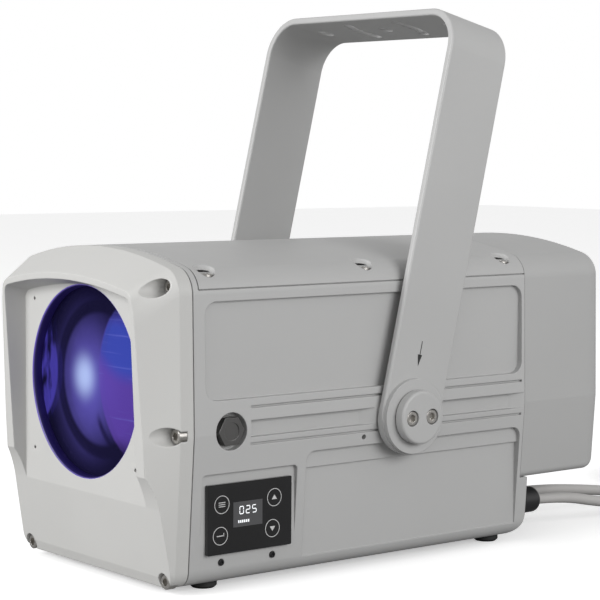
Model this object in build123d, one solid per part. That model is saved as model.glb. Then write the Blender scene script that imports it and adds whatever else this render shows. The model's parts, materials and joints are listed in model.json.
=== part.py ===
from build123d import *
import math
import os

# Outdoor image projector on a tilting yoke.
# Millimetres. +Z is up, the beam leaves towards -Y, the control panel is on the +X side.
# The origin lies on the floor, below the middle of the object's width and length.

# ---------------------------------------------------------------- driving dimensions
# casing section, seen along the beam
foot_height = 5.0
pivot_height = 104.3
seam_height = 197.5
crown_height = 222.5
over_crown = crown_height + 37.5
sole_half_width = 91.5
waist_half_width = 98.5
seam_half_width = 96.4
shoulder_drop = 14.3
sole_corner = 12.0
shoulder_corner = 18.0
wall = 3.0

# casing length, measured from the axis that the yoke tilts about
front_reach = 179.3
rear_reach = 124.0
rear_cover_start = 116.2
rear_cover_depth = 85.0
rear_cover_lift = 43.0
rear_cover_corner = 16.0
rear_cover_floor = 3.0
sole_rear_corner = 16.0

# main casing
cavity_half_width = 88.0
floor_wall = 5.0
frame_depth = 14.0
frame_inset = 16.0
bulkhead_depth = 18.0
bulkhead_window = 96.0
seal_thickness = 1.0
seal_width = 4.0
lid_lip = 4.0
seat_gap = 0.2
shadow_gap = 0.8

# lens hood
band_depth = 10.7
hood_depth = 36.7
hood_half_width = 81.0
hood_side_height = 195.5
hood_rise = 8.5
hood_lean = 7.2
chin_height = 79.0
chin_flat_height = 58.0
chin_setback = 8.0
plate_setback = 15.8
plate_thickness = 6.0
hood_lip = 3.0
hood_draft = 4.0
hood_screw_diameter = 6.0
hood_screw_seat = 5.5

# optics
lens_height = 132.0
window_diameter = 130.0
glass_diameter = 139.0
glass_thickness = 4.0
retainer_diameter = 151.0
accessory_pitch_x = 124.0
accessory_pitch_z = 103.4
accessory_hole = 2.5
barrel_diameter = 106.0
barrel_length = 60.0
rod_diameter = 8.0
rod_spread = 64.0
rod_length = 172.0
screw_drop = 56.0
screw_spread = 44.0
lead_screw_diameter = 6.0
carriage_thickness = 8.0
focus_cell_diameter = 76.0
bench_height = 60.0
bench_thickness = 3.0
gobo_diameter = 50.0
gobo_pulley_diameter = 80.0
motor_pulley_diameter = 16.0
motor_offset = 58.0
belt_thickness = 1.6
belt_width = 6.0
emitter_diameter = 22.0
fan_size = 92.0
fan_depth = 25.0
fin_length = 34.0
fin_count = 15
fin_thickness = 2.0
rotor_diameter = 86.0
blade_count = 7

# yoke and pivots
yoke_tilt = 13.4
yoke_reach = 284.0
yoke_half_width = 104.9
yoke_band = 53.6
yoke_thickness = 5.0
yoke_bend = 28.0
hub_diameter = 52.0
hub_thickness = 3.5
bush_diameter = 30.0
boss_diameter = 50.0
washer_thickness = 0.8
cap_diameter = 37.0
cap_thickness = 7.0
pivot_screw_pitch = 18.0
pivot_screw_diameter = 6.0
yoke_centre_hole = 10.5
yoke_outer_hole = 12.5
yoke_outer_pitch = 140.0
yoke_slot_radius = 30.0
yoke_slot_width = 8.5
yoke_slot_half_angle = 27.0

# side relief, panel, plug and feet
panel_setback = 46.3
panel_length = 69.0
panel_height = 46.0
panel_centre_z = 48.5
panel_glass_thickness = 2.5
panel_floor = 93.5
plug_setback = 29.3
plug_z = 105.5
plug_recess = 25.0
plug_across_flats = 18.0
foot_diameter = 18.0
channel_depth = 5.0
panel_screw_head = 1.6

# cables
cable_diameter = 8.0
gland_height = 27.0
gland_power_x = 48.0
gland_data_x = 78.0
gland_length = 24.0
coil_diameter = 88.0
coil_bundle = 24.0
mains_plug_diameter = 36.0
data_plug_diameter = 19.0

running = 0.05
free_gap = 0.3

# ---------------------------------------------------------------- derived places
pivot_y = hood_depth / 2 + (front_reach - rear_cover_start - rear_cover_depth) / 2
front_y = pivot_y - front_reach
rear_y = pivot_y + rear_reach
cover_start_y = pivot_y + rear_cover_start
cover_rear_y = cover_start_y + rear_cover_depth
panel_centre_y = front_y + panel_setback
plug_y = front_y + plug_setback
cover_floor_z = foot_height + rear_cover_lift
plate_y = front_y - hood_depth + plate_setback
plate_back_y = plate_y + plate_thickness
cavity_floor_z = foot_height + floor_wall
bulkhead_y = rear_y - bulkhead_depth
rod_front_y = front_y + 30.0
rod_rear_y = rod_front_y + rod_length
arm_inner_x = yoke_half_width - yoke_thickness
hub_outer_x = yoke_half_width + hub_thickness
boss_face_x = arm_inner_x - washer_thickness
cap_inner_x = hub_outer_x + washer_thickness
zoom_plate_y = rod_front_y + 20.0
focus_plate_y = rod_front_y + 104.0
gobo_y = rod_rear_y + 40.0
sink_base_y = rear_y


# ---------------------------------------------------------------- drawing helpers
def slab(face, y_front, y_back):
    """Extrude a face drawn in (x, z) between two stations along the beam."""
    return extrude(Plane.XZ.offset(-y_back) * face, amount=y_back - y_front)


def side_slab(face, x_inner, x_outer):
    """Extrude a face drawn in (y, z) between two stations across the casing."""
    return extrude(Plane.YZ.offset(x_inner) * face, amount=x_outer - x_inner)


def disc_y(diameter, y_front, y_back, x=0.0, z=0.0):
    return slab(Pos(x, z) * Circle(diameter / 2), y_front, y_back)


def disc_x(diameter, x_inner, x_outer, y=0.0, z=0.0):
    return side_slab(Pos(y, z) * Circle(diameter / 2), x_inner, x_outer)


def disc_z(diameter, z_low, z_high, x=0.0, y=0.0):
    return Pos(x, y, z_low) * extrude(Circle(diameter / 2), amount=z_high - z_low)


def block(x0, x1, y0, y1, z0, z1):
    centre = Pos((x0 + x1) / 2, (y0 + y1) / 2, (z0 + z1) / 2)
    return centre * Box(x1 - x0, y1 - y0, z1 - z0)


def both_sides(part):
    return [part, mirror(part, Plane.YZ)]


def socket_screw(diameter, length, head_diameter, head_height):
    """Socket screw whose head sits on z = 0 and whose shank points down."""
    shank = Pos(0, 0, -length) * extrude(Circle(diameter / 2), amount=length)
    head = extrude(Circle(head_diameter / 2), amount=head_height)
    head = chamfer(head.edges().sort_by(Axis.Z)[-1], head_diameter * 0.05)
    socket = Pos(0, 0, head_height * 0.4) * extrude(
        RegularPolygon(head_diameter * 0.29, 6), amount=head_height
    )
    return shank + head - socket


def facing_front(part):
    """Turn a part built along +Z so that its head faces -Y."""
    return Rot(90, 0, 0) * part


def facing_side(part):
    """Turn a part built along +Z so that its head faces +X."""
    return Rot(0, 90, 0) * part


# ---------------------------------------------------------------- casing section
def section(inset=0.0):
    """Outline of the casing across the beam, drawn inset from the outer skin."""
    top_edge_z = crown_height - shoulder_drop
    lean = (waist_half_width - seam_half_width) / (seam_height - pivot_height)
    top_edge_x = seam_half_width - lean * (top_edge_z - seam_height)
    corners = [
        (-top_edge_x, top_edge_z),
        (-waist_half_width, pivot_height),
        (-sole_half_width, foot_height),
        (sole_half_width, foot_height),
        (waist_half_width, pivot_height),
        (top_edge_x, top_edge_z),
    ]
    edges = Polyline(*corners).edges()
    edges.append(ThreePointArc(corners[-1], (0, crown_height), corners[0]))
    face = make_face(edges)
    low = face.vertices().group_by(Axis.Y)[0]
    face = fillet(low, sole_corner)
    high = [v for v in face.vertices() if v.Y > seam_height and abs(v.X) > seam_half_width / 2]
    face = fillet(high, shoulder_corner)
    if inset > 0:
        face = offset(face, amount=-inset, kind=Kind.INTERSECTION)
    return face


def section_band(outer_inset, inner_inset):
    return section(outer_inset) - section(inner_inset)


def above(z):
    return block(-200, 200, -400, 400, z, 500)


def below(z):
    return block(-200, 200, -400, 400, -200, z)


# ---------------------------------------------------------------- screw places
hood_screw_places = [
    (side * x, z)
    for side in (-1, 1)
    for x, z in ((86.0, seam_height + 2.0), (93.2, pivot_height + 1.0), (82.0, foot_height + 4.5))
]
lid_screw_x = seam_half_width - 9.0
lid_screw_stations = [front_y + 16.0, pivot_y - 30.5, bulkhead_y - 5.0]
lid_screw_seat = crown_height - 18.5
lid_pad_diameter = 13.0
rear_screw_places = [(side * 72.0, z) for side in (-1, 1) for z in (72.0, 186.0)]
foot_places = [(side * 72.0, y) for side in (-1, 1) for y in (front_y + 26.0, rear_y - 20.0)]


# ---------------------------------------------------------------- main casing
def side_relief():
    """Panels, rails and grooves cut into one flank of the casing."""
    front_edge = front_y + 9.0
    rear_edge = cover_start_y - 3.0
    middle = (front_edge + rear_edge) / 2
    upper = Pos(middle, 158.0) * RectangleRounded(rear_edge - front_edge, 64.0, 9.0)
    tool = side_slab(upper, waist_half_width - 5.0, waist_half_width + 5.0)
    rail_front = front_y + 45.0
    for z in (120.3, 96.0):
        groove = block(waist_half_width - 2.5, 110, rail_front, rear_edge, z - 0.8, z + 0.8)
        tool += groove
    tool += channel(rail_front, pivot_y - 26.6, 0.0, 12.4)
    tool += channel(pivot_y + 26.6, cover_start_y, 12.4, 12.4)
    tool += disc_x(3.5, waist_half_width - 6.0, waist_half_width + 5.0, pivot_y - 37.0, 92.0)
    lower_front = panel_centre_y + panel_length / 2 + 12.0
    length = rear_edge - lower_front
    ledge = Pos(rear_edge - length / 2, 52.0) * RectangleRounded(length, 69.0, 7.0)
    tool += side_slab(ledge, waist_half_width - 5.0, waist_half_width + 5.0)
    floor = Pos(rear_edge - length / 2, 45.0) * Rectangle(length, 60.0)
    tool += side_slab(floor, sole_half_width, waist_half_width + 5.0)
    return tool


def channel(y0, y1, ramp0, ramp1):
    """Trough along the flank, with a ramp of the given length at either end."""
    floor_x = waist_half_width - channel_depth
    outer_x = waist_half_width + channel_depth
    outline = Polyline(
        (floor_x, y0 + ramp0),
        (floor_x, y1 - ramp1),
        (outer_x, y1 + ramp1),
        (outer_x, y0 - ramp0),
        (floor_x, y0 + ramp0),
    )
    return Pos(0, 0, 100.4) * extrude(make_face(outline), amount=11.2)


def panel_recess():
    length = panel_length + 9.0
    outline = Pos(panel_centre_y, panel_centre_z - 0.5) * RectangleRounded(length, 61.0, 3.0)
    tool = side_slab(outline, panel_floor, waist_half_width + 5.0)
    window = Pos(panel_centre_y, panel_centre_z + 3.0) * Rectangle(36.0, 22.0)
    tool += side_slab(window, cavity_half_width - 3.0, waist_half_width)
    for y in (-1, 1):
        place = (panel_centre_y + y * 21.0, panel_centre_z - 29.0)
        tool += disc_x(2.5, panel_floor - 6.0, panel_floor + 1.0, *place)
        tool += disc_x(4.8, panel_floor - panel_screw_head, panel_floor + 1.0, *place)
    return tool


def pivot_boss():
    boss = disc_x(boss_diameter, cavity_half_width - 1.0, boss_face_x, pivot_y, pivot_height)
    boss += disc_x(44.0, cavity_half_width - 10.0, cavity_half_width, pivot_y, pivot_height)
    return boss


def pivot_tapping():
    tool = None
    for side in (-1, 1):
        place = (pivot_y + side * pivot_screw_pitch / 2, pivot_height)
        hole = disc_x(pivot_screw_diameter, cavity_half_width - 6.0, boss_face_x + 1.0, *place)
        tool = hole if tool is None else tool + hole
    return tool


def main_casing():
    outer = slab(section(), front_y, rear_y)
    rear_profile = Pos((front_y + rear_y) / 2, (foot_height + 300) / 2) * Rectangle(
        rear_y - front_y, 300 - foot_height
    )
    rear_low = [v for v in rear_profile.vertices() if v.X > 0 and v.Y < 50]
    rear_profile = fillet(rear_low, sole_rear_corner)
    outer &= side_slab(rear_profile, -120, 120)

    # the lid rests on the two flanks, the front frame and the bulkhead
    lid_front = front_y + 4.0
    lid_bay = block(-120, 120, lid_front, cover_start_y, seam_height, over_crown)
    outer -= lid_bay & (slab(section_band(0.0, lid_lip), lid_front, cover_start_y))
    cover_bay = slab(section_band(0.0, lid_lip), cover_start_y, rear_y + 1)
    outer -= cover_bay & above(cover_floor_z)

    # cavity, front frame and bulkhead window
    cavity = block(
        -cavity_half_width,
        cavity_half_width,
        front_y + frame_depth,
        bulkhead_y,
        cavity_floor_z,
        over_crown,
    )
    cavity = fillet(cavity.edges().filter_by(Axis.Y).group_by(Axis.Z)[0], 6.0)
    outer -= cavity
    outer -= slab(section(frame_inset), front_y - 1, front_y + frame_depth + 1)
    window = Pos(0, lens_height) * RectangleRounded(bulkhead_window, bulkhead_window, 8.0)
    outer -= slab(window, bulkhead_y - 1, rear_y + 1)
    outer -= slab(section_band(10.0, 10.0 + seal_width), front_y - 1, front_y + seal_thickness)

    # shoulders under the crown carry the lid screws
    for side in (-1, 1):
        for y in lid_screw_stations:
            outer += disc_z(lid_pad_diameter, 140.0, seam_height, side * lid_screw_x, y)
            pocket = disc_z(lid_pad_diameter + 2 * free_gap, seam_height, over_crown)
            outer -= Pos(side * lid_screw_x, y, 0) * pocket

    for piece in both_sides(pivot_boss()):
        outer += piece
    for piece in both_sides(side_relief() - disc_x(boss_diameter, 80, 120, pivot_y, pivot_height)):
        outer -= piece
    for piece in both_sides(pivot_tapping()):
        outer -= piece
    outer -= panel_recess()
    outer -= disc_x(plug_recess, waist_half_width - 6.5, 120, plug_y, plug_z)
    outer -= disc_x(12.0, 80, 120, plug_y, plug_z)

    # tapped holes
    for x, z in hood_screw_places:
        outer -= disc_y(hood_screw_diameter, front_y - 1, front_y + 9.0, x, z)
    for side in (-1, 1):
        for y in lid_screw_stations:
            outer -= disc_z(5.0, seam_height - 14.0, seam_height + 1, side * lid_screw_x, y)
    for x, z in rear_screw_places:
        outer -= disc_y(5.0, rear_y - 12.0, rear_y + 1, x, z)
    for x in (gland_power_x, gland_data_x):
        outer -= disc_y(16.0, bulkhead_y - 1, rear_y + 1, x, gland_height)
    for x, y in foot_places:
        outer -= disc_z(4.0, foot_height - 1, foot_height + 4.0, x, y)
    for x, y in bench_posts():
        outer += disc_z(10.0, cavity_floor_z - 1, bench_height, x, y)
        outer -= disc_z(4.0, bench_height - 12.0, bench_height + 1, x, y)
    return outer


def bench_posts():
    return [(x, y) for x in (-60.0, 60.0) for y in (front_y + 42.0, bulkhead_y - 14.0)]


# ---------------------------------------------------------------- covers
def top_lid():
    """Crowned lid, flush with the front frame and with the rear cover."""
    y0 = front_y + 4.0 + seat_gap
    y1 = cover_start_y - seat_gap
    lid = slab(section() - section(wall), y0, y1) & above(seam_height)
    lid -= slab(section_band(0.0, wall / 2), y0, y1) & below(seam_height + shadow_gap)
    lid -= slab(section_band(0.0, wall / 2), y0, y0 + shadow_gap - seat_gap)
    # pads under the screw heads
    for side in (-1, 1):
        for y in lid_screw_stations:
            pad = disc_z(lid_pad_diameter, seam_height, lid_screw_seat + 11.0, side * lid_screw_x, y)
            lid += pad & slab(section(0.5), y0, y1)
            lid -= screw_scoop(side * lid_screw_x, y)
            lid -= disc_z(5.4, seam_height - 1, over_crown, side * lid_screw_x, y)
    return lid


def screw_scoop(x, y):
    """Dimple with a flat seat and a shallow flared mouth."""
    seat = Pos(x, y, lid_screw_seat)
    bay = extrude(Circle(5.2), amount=40.0)
    flare = Pos(0, 0, 1.5) * extrude(Circle(5.2), amount=14.0, taper=-24)
    return seat * (bay + flare)


def lid_seal():
    """Seal strips under the lid: one arch at the front and one at the rear."""
    y0 = front_y + 5.0
    y1 = cover_start_y - 2.0
    arch = section_band(wall, lid_lip)
    seal = slab(arch, y0, y0 + seal_width) + slab(arch, y1 - seal_width, y1)
    return seal & above(seam_height)


def rear_cover():
    """Ventilated cover over the heat sink and the fan."""
    y0 = cover_start_y + seat_gap
    outer = slab(section(), y0, cover_rear_y) & above(cover_floor_z)
    inner = slab(section(wall), y0 - 1, cover_rear_y - wall)
    inner &= above(cover_floor_z + rear_cover_floor)
    outer = fillet(outer.faces().sort_by(Axis.Y)[-1].edges(), rear_cover_corner)
    inner = fillet(inner.faces().sort_by(Axis.Y)[-1].edges(), rear_cover_corner - wall)
    low_sides = outer.faces().sort_by(Axis.Z)[0].edges().filter_by(Axis.Y)
    outer = fillet(low_sides, 5.0)
    mouth = slab(section(wall), y0 - 1, rear_y + seat_gap)
    cover = outer - inner - mouth
    for x, z in rear_screw_places:
        cover += disc_y(14.0, cover_rear_y - 10.0, cover_rear_y - 1.0, x, z)
        cover -= disc_y(10.5, cover_rear_y - 5.0, cover_rear_y + 1, x, z)
        cover -= disc_y(5.4, cover_rear_y - 12.0, cover_rear_y + 1, x, z)
    # outlet slots behind the fan and inlet slots below the fins
    for row in range(-6, 7):
        z = lens_height + row * 7.0
        reach = math.sqrt(46.0**2 - (row * 7.0) ** 2) if abs(row * 7.0) < 46.0 else 12.0
        slot = Pos(0, z) * SlotOverall(2 * reach, 3.5)
        cover -= slab(slot, cover_rear_y - 5.0, cover_rear_y + 1)
    for column in range(-5, 6):
        slot = Pos(column * 12.0, (rear_y + cover_rear_y) / 2) * Rectangle(5.0, 40.0)
        cover -= Pos(0, 0, cover_floor_z - 1) * extrude(slot, amount=rear_cover_floor + 2)
    return cover


def rear_seal():
    y0 = cover_start_y + 2.0
    ring = slab(section_band(wall, lid_lip), y0, y0 + seal_width)
    return ring & above(cover_floor_z + rear_cover_floor + 0.5)


def rear_posts():
    """Spacers between the bulkhead and the rear cover."""
    posts = []
    for x, z in rear_screw_places:
        post = slab(Pos(x, z) * RegularPolygon(6.0, 6), rear_y, cover_rear_y - 10.0)
        post += disc_y(5.0, rear_y - 10.0, rear_y, x, z)
        post -= disc_y(5.0, cover_rear_y - 24.0, cover_rear_y, x, z)
        posts.append(post)
    return posts


def hood_profile():
    """Side view of the hood: leaning rim, scooped cheek and receding chin."""
    rim_y = front_y - hood_depth
    arch_z = hood_side_height + hood_rise
    cheek_y = rim_y + hood_lean
    foot_y = plate_y + chin_setback
    points = [
        (front_y, -20),
        (front_y, 300),
        (rim_y - (300 - arch_z) * hood_lean / (arch_z - chin_height), 300),
        (cheek_y, chin_height),
    ]
    edges = Polyline(*points).edges()
    cheek = (cheek_y + (plate_y - cheek_y) * 0.55, (chin_height + chin_flat_height) / 2 + 1.5)
    edges.append(ThreePointArc(points[-1], cheek, (plate_y, chin_flat_height)))
    edges += Polyline((plate_y, chin_flat_height), (foot_y, 12.0), (foot_y + 12, -20), points[0]).edges()
    return make_face(edges)


def hood_outline(half_width, side_z, rise, low_z, corner):
    """Arched outline of the hood at one station along the beam."""
    points = [(-half_width, side_z), (-half_width, low_z), (half_width, low_z), (half_width, side_z)]
    edges = Polyline(*points).edges()
    edges.append(ThreePointArc(points[-1], (0, side_z + rise), points[0]))
    face = make_face(edges)
    high = [v for v in face.vertices() if v.Y > side_z - 1]
    face = fillet(high, corner)
    low = face.vertices().group_by(Axis.Y)[0]
    return fillet(low, corner)


def front_hood():
    band_y = front_y - band_depth
    nose_y = front_y - hood_depth - 6.0
    share = (hood_depth + 6.0 - band_depth) / (hood_depth - band_depth)
    half = waist_half_width - (waist_half_width - hood_half_width) * share
    side_z = crown_height - shoulder_drop
    side_z = side_z - (side_z - hood_side_height) * share
    base = Plane.XZ.offset(-band_y) * section()
    nose = hood_outline(half, side_z, hood_rise, foot_height + 5.0, 8.0)
    shell = loft([base.faces()[0], (Plane.XZ.offset(-nose_y) * nose).faces()[0]], ruled=True)
    shell += slab(section(), band_y, front_y)
    shell &= side_slab(hood_profile(), -120, 120)

    shell -= slab(section_band(0.0, wall / 2), front_y - shadow_gap, front_y)

    # the recess around the window, drafted towards the rim and open at the chin
    recess_back = hood_outline(
        hood_half_width - hood_lip - hood_draft,
        hood_side_height - hood_lip - hood_draft,
        hood_rise,
        -60.0,
        6.0,
    )
    recess_front = hood_outline(
        hood_half_width - hood_lip + 1.0, hood_side_height - hood_lip + 1.5, hood_rise, -60.0, 6.0
    )
    rear_face = (Plane.XZ.offset(-plate_y) * recess_back).faces()[0]
    front_face = (Plane.XZ.offset(-nose_y) * recess_front).faces()[0]
    shell -= loft([rear_face, front_face], ruled=True)

    # window and the pocket behind the plate
    shell -= disc_y(window_diameter, plate_y - 1, front_y + 1, 0, lens_height)
    pocket = Pos(0, 106.0) * RectangleRounded(2 * 77.5, 166.0, 6.0)
    shell -= slab(pocket, plate_back_y + glass_thickness + seal_thickness, front_y + 1)
    retainer_bay = retainer_diameter + 2.0
    retainer_y = plate_back_y + glass_thickness + seal_thickness
    shell -= disc_y(retainer_bay, retainer_y, front_y + 1, 0, lens_height)
    seat = glass_diameter + 2 * seat_gap
    shell -= disc_y(seat, plate_back_y, front_y + 1, 0, lens_height)
    for x in (-accessory_pitch_x / 2, accessory_pitch_x / 2):
        for z in (-accessory_pitch_z / 2, accessory_pitch_z / 2):
            shell -= disc_y(accessory_hole, plate_y - 1, plate_y + 5.0, x, lens_height + z)
    for x, z in retainer_screw_places():
        shell -= disc_y(3.0, plate_back_y + 0.5, front_y, x, z)

    # long scallops let a key reach the six fixing screws
    for x, z in hood_screw_places:
        seat_y = front_y - hood_screw_seat
        shell -= disc_y(12.0, front_y - hood_depth - 20, seat_y, x, z)
        shell -= disc_y(hood_screw_diameter + 0.6, front_y - 60, front_y + 1, x, z)
    return shell


def hood_seal():
    seal = slab(section_band(10.0, 10.0 + seal_width), front_y, front_y + seal_thickness)
    for x, z in hood_screw_places:
        seal -= disc_y(hood_screw_diameter + 1.0, front_y - 1, front_y + 3, x, z)
    return seal


# ---------------------------------------------------------------- window
def retainer_screw_places():
    radius = glass_diameter / 2 + 3.2
    angles = [math.radians(a) for a in (45, 135, 225, 315)]
    return [(radius * math.cos(a), lens_height + radius * math.sin(a)) for a in angles]


def window_seal():
    ring = Pos(0, lens_height) * (Circle(glass_diameter / 2) - Circle(window_diameter / 2 + 0.5))
    return slab(ring, plate_back_y, plate_back_y + seal_thickness)


def front_window():
    y0 = plate_back_y + seal_thickness
    pane = disc_y(glass_diameter, y0, y0 + glass_thickness, 0, lens_height)
    return chamfer(pane.edges(), 0.4)


def window_retainer():
    y0 = plate_back_y + seal_thickness + glass_thickness
    ring = Pos(0, lens_height) * (Circle(retainer_diameter / 2) - Circle(window_diameter / 2))
    part = slab(ring, y0, y0 + 3.0)
    for x, z in retainer_screw_places():
        part -= disc_y(3.4, y0 - 1, y0 + 4, x, z)
    return part


def retainer_screws():
    screw = Rot(-90, 0, 0) * socket_screw(3.0, 7.0, 5.5, 3.0)
    seat_y = plate_back_y + seal_thickness + glass_thickness + 3.0
    return [Pos(x, seat_y, z) * screw for x, z in retainer_screw_places()]


# ---------------------------------------------------------------- fasteners outside
def hood_screws():
    screw = facing_front(socket_screw(hood_screw_diameter, hood_screw_seat + 8.0, 10.0, 6.0))
    return [Pos(x, front_y - hood_screw_seat, z) * screw for x, z in hood_screw_places]


def lid_screws():
    screw = socket_screw(5.0, lid_screw_seat - seam_height + 12.0, 9.0, 3.5)
    places = [(side * lid_screw_x, y) for side in (-1, 1) for y in lid_screw_stations]
    return [Pos(x, y, lid_screw_seat) * screw for x, y in places]


def rear_screws():
    screw = Rot(-90, 0, 0) * socket_screw(5.0, 16.0, 8.5, 4.5)
    return [Pos(x, cover_rear_y - 5.0, z) * screw for x, z in rear_screw_places]


# ---------------------------------------------------------------- yoke and pivots
def yoke_frame(part):
    """Place a part built around the tilt axis, arms up, at the rest tilt."""
    return Pos(0, pivot_y, pivot_height) * (Rot(-yoke_tilt, 0, 0) * part)


def yoke_slot(side):
    """Curved slot beside the centre hole, for turning the yoke on its clamp."""
    inner = yoke_slot_radius - yoke_slot_width / 2
    ring = Circle(yoke_slot_radius + yoke_slot_width / 2) - Circle(inner)
    wedge = make_face(
        Polyline(
            (0, 0),
            (80, 80 * math.tan(math.radians(yoke_slot_half_angle))),
            (80, -80 * math.tan(math.radians(yoke_slot_half_angle))),
            (0, 0),
        )
    )
    slot = ring & wedge
    for sign in (-1, 1):
        angle = math.radians(sign * yoke_slot_half_angle)
        end = (yoke_slot_radius * math.cos(angle), yoke_slot_radius * math.sin(angle))
        slot += Pos(*end) * Circle(yoke_slot_width / 2)
    return Rot(0, 0, 0 if side > 0 else 180) * slot


def yoke():
    outer_w = yoke_half_width
    outer = Pos(0, yoke_reach / 2 - 30) * Rectangle(2 * outer_w, yoke_reach + 60)
    outer = fillet(outer.vertices().group_by(Axis.Y)[-1], yoke_bend)
    inner = Pos(0, yoke_reach / 2 - 40 - yoke_thickness) * Rectangle(
        2 * arm_inner_x, yoke_reach + 80
    )
    inner = fillet(inner.vertices().group_by(Axis.Y)[-1], yoke_bend - yoke_thickness)
    bar = slab(outer - inner, -yoke_band / 2, yoke_band / 2)
    long_edges = [
        e
        for f in (bar.faces().sort_by(Axis.Y)[0], bar.faces().sort_by(Axis.Y)[-1])
        for e in f.edges()
    ]
    bar = fillet(long_edges, 1.4)
    side_view = Pos(0, yoke_reach / 2 + 5) * Rectangle(yoke_band + 2, yoke_reach + 10)
    bar &= side_slab(side_view + Circle(yoke_band / 2), -120, 120)
    for hub in both_sides(disc_x(hub_diameter, arm_inner_x, hub_outer_x)):
        bar += hub
    bar -= disc_x(bush_diameter + 2 * running, -130, 130)
    crossbar = [Pos(x, 0) * Circle(yoke_outer_hole / 2) for x in (-yoke_outer_pitch / 2, yoke_outer_pitch / 2)]
    crossbar += [Circle(yoke_centre_hole / 2), yoke_slot(-1), yoke_slot(1)]
    for shape in crossbar:
        bar -= Pos(0, 0, yoke_reach - 20) * extrude(shape, amount=40)
    return yoke_frame(bar)


def friction_washers():
    ring = Pos(pivot_y, pivot_height) * (Circle(hub_diameter / 2 - 1) - Circle(bush_diameter / 2 + free_gap))
    inner = side_slab(ring, boss_face_x, arm_inner_x)
    small = Pos(pivot_y, pivot_height) * (Circle(cap_diameter / 2 - 0.5) - Circle(bush_diameter / 2 + free_gap))
    outer = side_slab(small, hub_outer_x, cap_inner_x)
    return both_sides(inner) + both_sides(outer)


def pivot_holes(part, diameter, x_inner, x_outer):
    for side in (-1, 1):
        part -= disc_x(diameter, x_inner, x_outer, pivot_y + side * pivot_screw_pitch / 2, pivot_height)
    return part


def pivot_bush():
    bush = disc_x(bush_diameter, boss_face_x, cap_inner_x, pivot_y, pivot_height)
    return pivot_holes(bush, pivot_screw_diameter + 0.5, boss_face_x - 1, cap_inner_x + 1)


def pivot_cap():
    outer_x = cap_inner_x + cap_thickness
    cap = disc_x(cap_diameter, cap_inner_x, outer_x, pivot_y, pivot_height)
    cap = fillet(cap.edges().sort_by(Axis.X)[-1], 1.8)
    cap = pivot_holes(cap, pivot_screw_diameter + 0.5, cap_inner_x - 1, outer_x + 1)
    return pivot_holes(cap, 11.0, outer_x - 5.5, outer_x + 1)


def pivot_screws():
    seat_x = cap_inner_x + cap_thickness - 5.5
    screw = facing_side(socket_screw(pivot_screw_diameter, seat_x - cavity_half_width, 10.0, 5.0))
    places = [pivot_y + s * pivot_screw_pitch / 2 for s in (-1, 1)]
    pair = [Pos(seat_x, y, pivot_height) * screw for y in places]
    return pair + [mirror(one, Plane.YZ) for one in pair]


# ---------------------------------------------------------------- vent plug, feet, panel
def vent_plug():
    seat_x = waist_half_width - 6.5
    hexagon = Pos(plug_y, plug_z) * RegularPolygon(plug_across_flats / 2, 6, major_radius=False)
    plug = side_slab(hexagon, seat_x + 1.5, seat_x + 6.5)
    plug += disc_x(20.0, seat_x, seat_x + 1.5, plug_y, plug_z)
    plug -= disc_x(12.0, seat_x + 5.9, seat_x + 7.0, plug_y, plug_z)
    return plug + disc_x(12.0 - 2 * running, cavity_half_width - 2.0, seat_x, plug_y, plug_z)


def rubber_feet():
    feet = []
    for x, y in foot_places:
        foot = disc_z(foot_diameter, 0, foot_height, x, y)
        foot = chamfer(foot.edges().sort_by(Axis.Z)[0], 1.5)
        foot -= disc_z(8.5, -1, 2.5, x, y)
        foot -= disc_z(4.4, -1, foot_height + 1, x, y)
        feet.append(foot)
    return feet


def foot_screws():
    screw = Rot(180, 0, 0) * socket_screw(4.0, 6.0, 7.0, 1.8)
    return [Pos(x, y, 2.5) * screw for x, y in foot_places]


def panel_glass():
    face = Pos(panel_centre_y, panel_centre_z) * RectangleRounded(panel_length, panel_height, 1.0)
    return side_slab(face, panel_floor, panel_floor + panel_glass_thickness)


def display_module():
    x1 = panel_floor
    y, z = panel_centre_y, panel_centre_z + 3.0
    glass = block(x1 - 3.0, x1, y - 16.0, y + 16.0, z - 9.5, z + 9.5)
    return glass + block(x1 - 4.6, x1 - 3.0, y - 17.0, y + 17.0, z - 10.5, z + 10.5)


def control_board():
    y, z = panel_centre_y, panel_centre_z
    x1 = cavity_half_width - 4.0
    board = block(x1 - 1.6, x1, y - 30, y + 30, z - 24, z + 22)
    header = block(x1, x1 + 3.5, y - 8, y + 8, z - 16, z - 10)
    chip = block(x1 - 3.6, x1 - 1.6, y - 12, y + 2, z - 4, z + 10)
    connector = block(x1 - 9.6, x1 - 1.6, y + 12, y + 26, z - 14, z - 6)
    return board + header + chip + connector


def panel_screws():
    screw = facing_side(socket_screw(2.5, 3.6, 4.2, panel_screw_head))
    places = [(panel_centre_y + s * 21.0, panel_centre_z - 29.0) for s in (-1, 1)]
    return [Pos(panel_floor - panel_screw_head, y, z) * screw for y, z in places]


# ---------------------------------------------------------------- optics inside
def rod_supports(part, y0, y1):
    """Drill a cross plate for the two guide rods."""
    for side in (-1, 1):
        part -= disc_y(rod_diameter, y0 - 1, y1 + 1, side * rod_spread, lens_height)
    return part


def cross_plate(y0, thickness, opening):
    base_z = bench_height + bench_thickness
    face = Pos(0, (base_z + 196) / 2) * RectangleRounded(150.0, 196 - base_z, 5.0)
    plate = slab(face, y0, y0 + thickness)
    plate -= disc_y(opening, y0 - 1, y0 + thickness + 1, 0, lens_height)
    return rod_supports(plate, y0, y0 + thickness)


def screw_places():
    return [(-screw_spread, lens_height - screw_drop), (screw_spread, lens_height - screw_drop)]


def front_rod_plate():
    plate = cross_plate(rod_front_y, 5.0, barrel_diameter + 4.0)
    for x, z in screw_places():
        plate -= disc_y(lead_screw_diameter + 2 * running, rod_front_y - 1, rod_front_y + 6, x, z)
    return plate


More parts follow.
